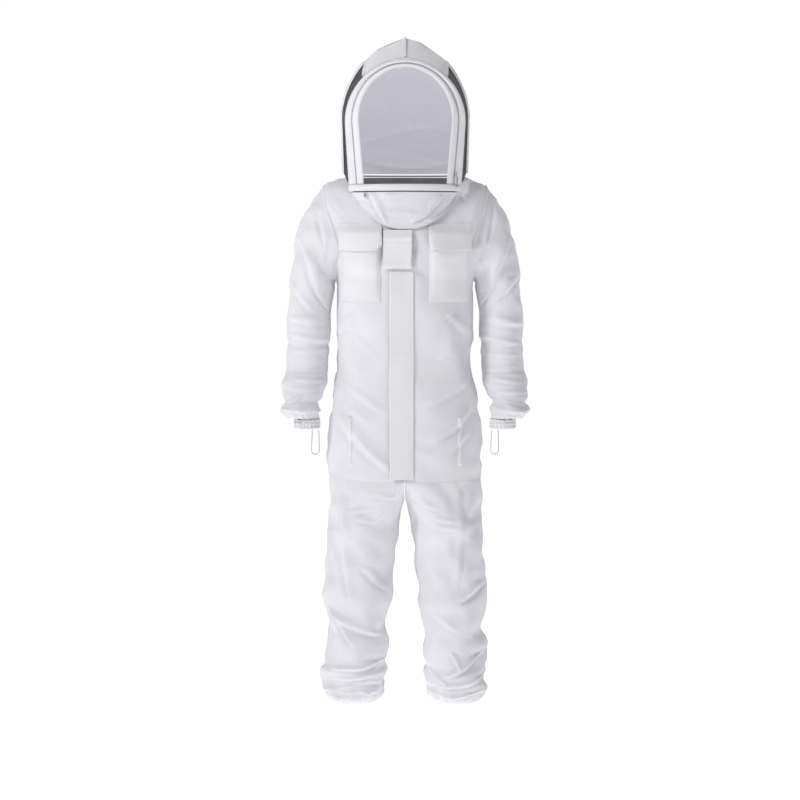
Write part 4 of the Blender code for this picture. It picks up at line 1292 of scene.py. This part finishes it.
path = hood_points(1.012, np.linspace(0.004, 0.996, 500))
out = normals(hood_points(np.array((0.9, 1.012, 1.1))[:, None], np.linspace(0.004, 0.996, 500)[None]), False, HEAD)[1]
over = unit(np.cross(unit(np.gradient(path, axis=0)), out))
teeth("veil_zip_teeth", path + out * 0.0006, out, over, 0.0024, "hood", size=(0.0011, 0.0011, 0.0012))
piece("veil_zip_tape", [strip(path - out * 0.0022, out, 0.0052, 0.0008)], TAPE, "hood")

near = np.linspace(0.0, 0.4855, 90)
edge = hood_points(0.0, near)
f = np.linspace(-1, 1, 80)[None]
bulge = VEIL_BULGE * (1 - f**2) * np.cos(math.pi / 2 * (near[:, None] / 0.5) ** 2)
P = np.stack([edge[:, :1] * f * 0.992, edge[:, 1:2] - bulge, edge[:, 2:] + 0 * f], -1)
N = normals(P, False, HEAD)
piece("face_net_cloth", [shell(P, N, thick=0.0005)], FACE_NET, "veil", ["face_net"])


# ---- zip sliders -----------------------------------------------------------------------------------
def lofted(sections):
    """A solid through rounded sections: each is centre, way along, out, half width, half depth."""
    rings, norms = [], []
    for centre, side, out, w, d in sections:
        centre, side, out = (np.asarray(k, float) for k in (centre, side, out))
        t = np.linspace(0, 2 * math.pi, 20, endpoint=False)
        c, s = power(np.cos(t), 0.45), power(np.sin(t), 0.45)
        rings.append(centre + side * (w * c)[:, None] + out * (d * s)[:, None])
        norms.append(unit(side * (np.cos(t))[:, None] + out * (np.sin(t))[:, None]))
    P, N = np.stack(rings), np.stack(norms)
    verts, n = P.reshape(-1, 3), N.reshape(-1, 3)
    faces = oriented(verts, quads(len(P), 20, True), n)
    first, final = verts[:20], verts[-20:]
    caps, count = [], len(verts)
    verts = np.concatenate([verts, first, final])
    way = unit(P[-1].mean(0) - P[0].mean(0))
    n = np.concatenate([n, np.tile(-way, (20, 1)), np.tile(way, (20, 1))])
    for start in (count, count + 20):
        for k in range(0, 18, 2):
            q = np.array([[start, start + k + 1, start + k + 2, start + k + 3 if k + 3 < 20 else start]])
            if len(set(q[0])) == 4:
                caps.append(q)
    return verts, oriented(verts, np.concatenate([faces] + caps), n), n


def zip_slider(name, centre, along, out, width, depth, tall, body, node):
    """A tapered slider body with a bridge over it."""
    side = unit(np.cross(along, out))
    body_parts = []
    steps = np.linspace(-0.5, 0.5, 9)
    rows = [(centre + along * tall * s, side, out, width / 2 * (0.72 + 0.28 * smooth(s + 0.7)), depth / 2 * (0.7 if abs(s) > 0.45 else 1)) for s in steps]
    body_parts.append(lofted(rows))
    arc = np.linspace(0, math.pi, 9)
    rows = []
    for k in arc:
        spot = centre + along * tall * 0.30 * math.cos(k) + out * (depth * 0.45 + depth * 0.42 * math.sin(k))
        way = unit(-along * math.sin(k) + out * math.cos(k))
        rows.append((spot, side, unit(np.cross(way, side)), width * 0.16, 0.00035))
    body_parts.append(lofted(rows))
    piece(name, body_parts, METAL, body, [node])


def zip_pull(name, top, down, out, width, thick, tall, body, node):
    """A pull tab: two bars joined by a rounded foot, with a slot between them."""
    side = unit(np.cross(down, out))
    parts = []
    n = 44
    t = np.linspace(0, 2 * math.pi, n, endpoint=False)
    outer_x, outer_y = width / 2 * power(np.cos(t), 0.5), tall / 2 * power(np.sin(t), 0.35)
    inner_x, inner_y = outer_x * 0.50, outer_y * 0.72 - tall * 0.06
    centre = top + down * tall / 2
    rings = []
    for x, y, z in ((outer_x, outer_y, -1), (outer_x, outer_y, 1), (inner_x, inner_y, 1), (inner_x, inner_y, -1)):
        rings.append(centre + side * x[:, None] + down * y[:, None] + out * thick / 2 * z)
    P = np.stack(rings)
    verts, norms, faces = [], [], []
    for i in range(4):
        pair = np.stack([P[i], P[(i + 1) % 4]])
        if i == 0:
            nn = unit(side * np.cos(t)[:, None] + down * np.sin(t)[:, None])
        elif i == 1:
            nn = np.tile(out, (n, 1))
        elif i == 2:
            nn = -unit(side * np.cos(t)[:, None] + down * np.sin(t)[:, None])
        else:
            nn = np.tile(-out, (n, 1))
        v = pair.reshape(-1, 3)
        m = np.concatenate([nn, nn])
        parts.append((v, oriented(v, quads(2, n, True), m), m))
    piece(name, parts, METAL, body, [node])


def middle_of(node):
    lo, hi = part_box(node)
    return np.array((lo + hi) / 2), np.array(hi - lo)


up = np.array((0, 0, 1.0))
centre, size = middle_of("main_zip_slider")
zip_slider("zip_slider_main", centre, up, np.array((0, -1.0, 0)), 0.0088, 0.0026, 0.0156, "main_zip", "main_zip_slider")
centre, size = middle_of("main_zip_pull")
zip_pull("zip_pull_main", centre + up * 0.0126, -up, np.array((0, -1.0, 0)), 0.0058, 0.0013, 0.0252, "main_zip", "main_zip_pull")
low, high = hood_points(1.02, 0.015), hood_points(1.02, ARCH_LEG)
lean = unit(high - low)
out = unit(np.array((0.72, -0.69, 0)))
centre, size = middle_of("veil_zip_slider")
zip_slider("zip_slider_veil", centre, lean, unit(out - lean * (out @ lean)), 0.0068, 0.0028, 0.0126, "veil_zip", "veil_zip_slider")
centre, size = middle_of("veil_zip_pull")
zip_pull("zip_pull_veil", centre + up * 0.0132, -up, out, 0.0058, 0.0015, 0.0264, "veil_pull", "veil_zip_pull")
centre, size = middle_of("neck_zip_slider")
away = unit(centre * np.array((1, 1, 0)) - np.array((0, CHIN[1], 0)))
zip_slider("zip_slider_neck", centre, up, away, 0.0078, 0.0028, 0.0116, "neck_zip", "neck_zip_slider")
for node in ("front_hoop_stay", "rear_hoop_stay"):
    stay = bpy.data.objects[node]
    stay.data.materials.clear()
    stay.data.materials.append(STAY)


# ---- floor, light and camera -----------------------------------------------------------------------
bpy.ops.mesh.primitive_plane_add(size=40, location=(0, 0, 0.0006 - NECK))
floor = bpy.context.object
floor.name = "floor"
pale = bpy.data.materials.new("pale_floor")
pale.use_nodes = True
p = pale.node_tree.nodes["Principled BSDF"]
p.inputs["Base Color"].default_value = (0.86, 0.86, 0.87, 1)
p.inputs["Roughness"].default_value = 0.9
p.inputs["Emission Color"].default_value = (1, 1, 1, 1)
p.inputs["Emission Strength"].default_value = 0.72
floor.data.materials.append(pale)

world = bpy.data.worlds.new("studio")
bpy.context.scene.world = world
world.use_nodes = True
tree = world.node_tree
back = tree.nodes["Background"]
way = tree.nodes.new("ShaderNodeTexCoord").outputs["Generated"]
split = tree.nodes.new("ShaderNodeSeparateXYZ")
tree.links.new(way, split.inputs["Vector"])
far = tree.nodes.new("ShaderNodeMapRange")
far.interpolation_type = "SMOOTHSTEP"
for key, value in (("From Min", 0.55), ("From Max", 0.85), ("To Min", 0.0), ("To Max", 1.0)):
    far.inputs[key].default_value = value
tree.links.new(split.outputs["Y"], far.inputs["Value"])
tone = tree.nodes.new("ShaderNodeMix")
tone.data_type = "RGBA"
tone.inputs["A"].default_value = (0.255, 0.250, 0.268, 1)
tone.inputs["B"].default_value = (1.02, 1.02, 1.02, 1)
tree.links.new(far.outputs["Result"], tone.inputs["Factor"])
tree.links.new(tone.outputs["Result"], back.inputs["Color"])
back.inputs["Strength"].default_value = 1.0


def lamp(name, place, target, size, power_):
    light = bpy.data.lights.new(name, "AREA")
    light.size, light.energy = size, power_
    light.color = (1.0, 0.99, 0.985)
    thing = bpy.data.objects.new(name, light)
    bpy.context.scene.collection.objects.link(thing)
    thing.location = place
    thing.rotation_euler = (Vector(target) - Vector(place)).to_track_quat("-Z", "Y").to_euler()


lamp("key", (-2.9, -2.3, 2.4), (0, 0, -0.5), 0.9, 92)
lamp("fill", (2.8, -3.0, 0.6), (0, 0, -0.6), 2.4, 9)
lamp("top", (0.3, 0.6, 3.0), (0, 0, -0.4), 1.8, 16)

eye = bpy.data.cameras.new("camera")
eye.lens, eye.sensor_width = 76.7, 36.0
camera = bpy.data.objects.new("camera", eye)
bpy.context.scene.collection.objects.link(camera)
camera.location = (-0.0135, -4.6, 1.25 - NECK)
camera.rotation_euler = (Vector((-0.0135, 0.0, 0.826 - NECK)) - camera.location).to_track_quat("-Z", "Y").to_euler()
bpy.context.scene.camera = camera
bpy.context.scene.view_settings.view_transform = "Standard"
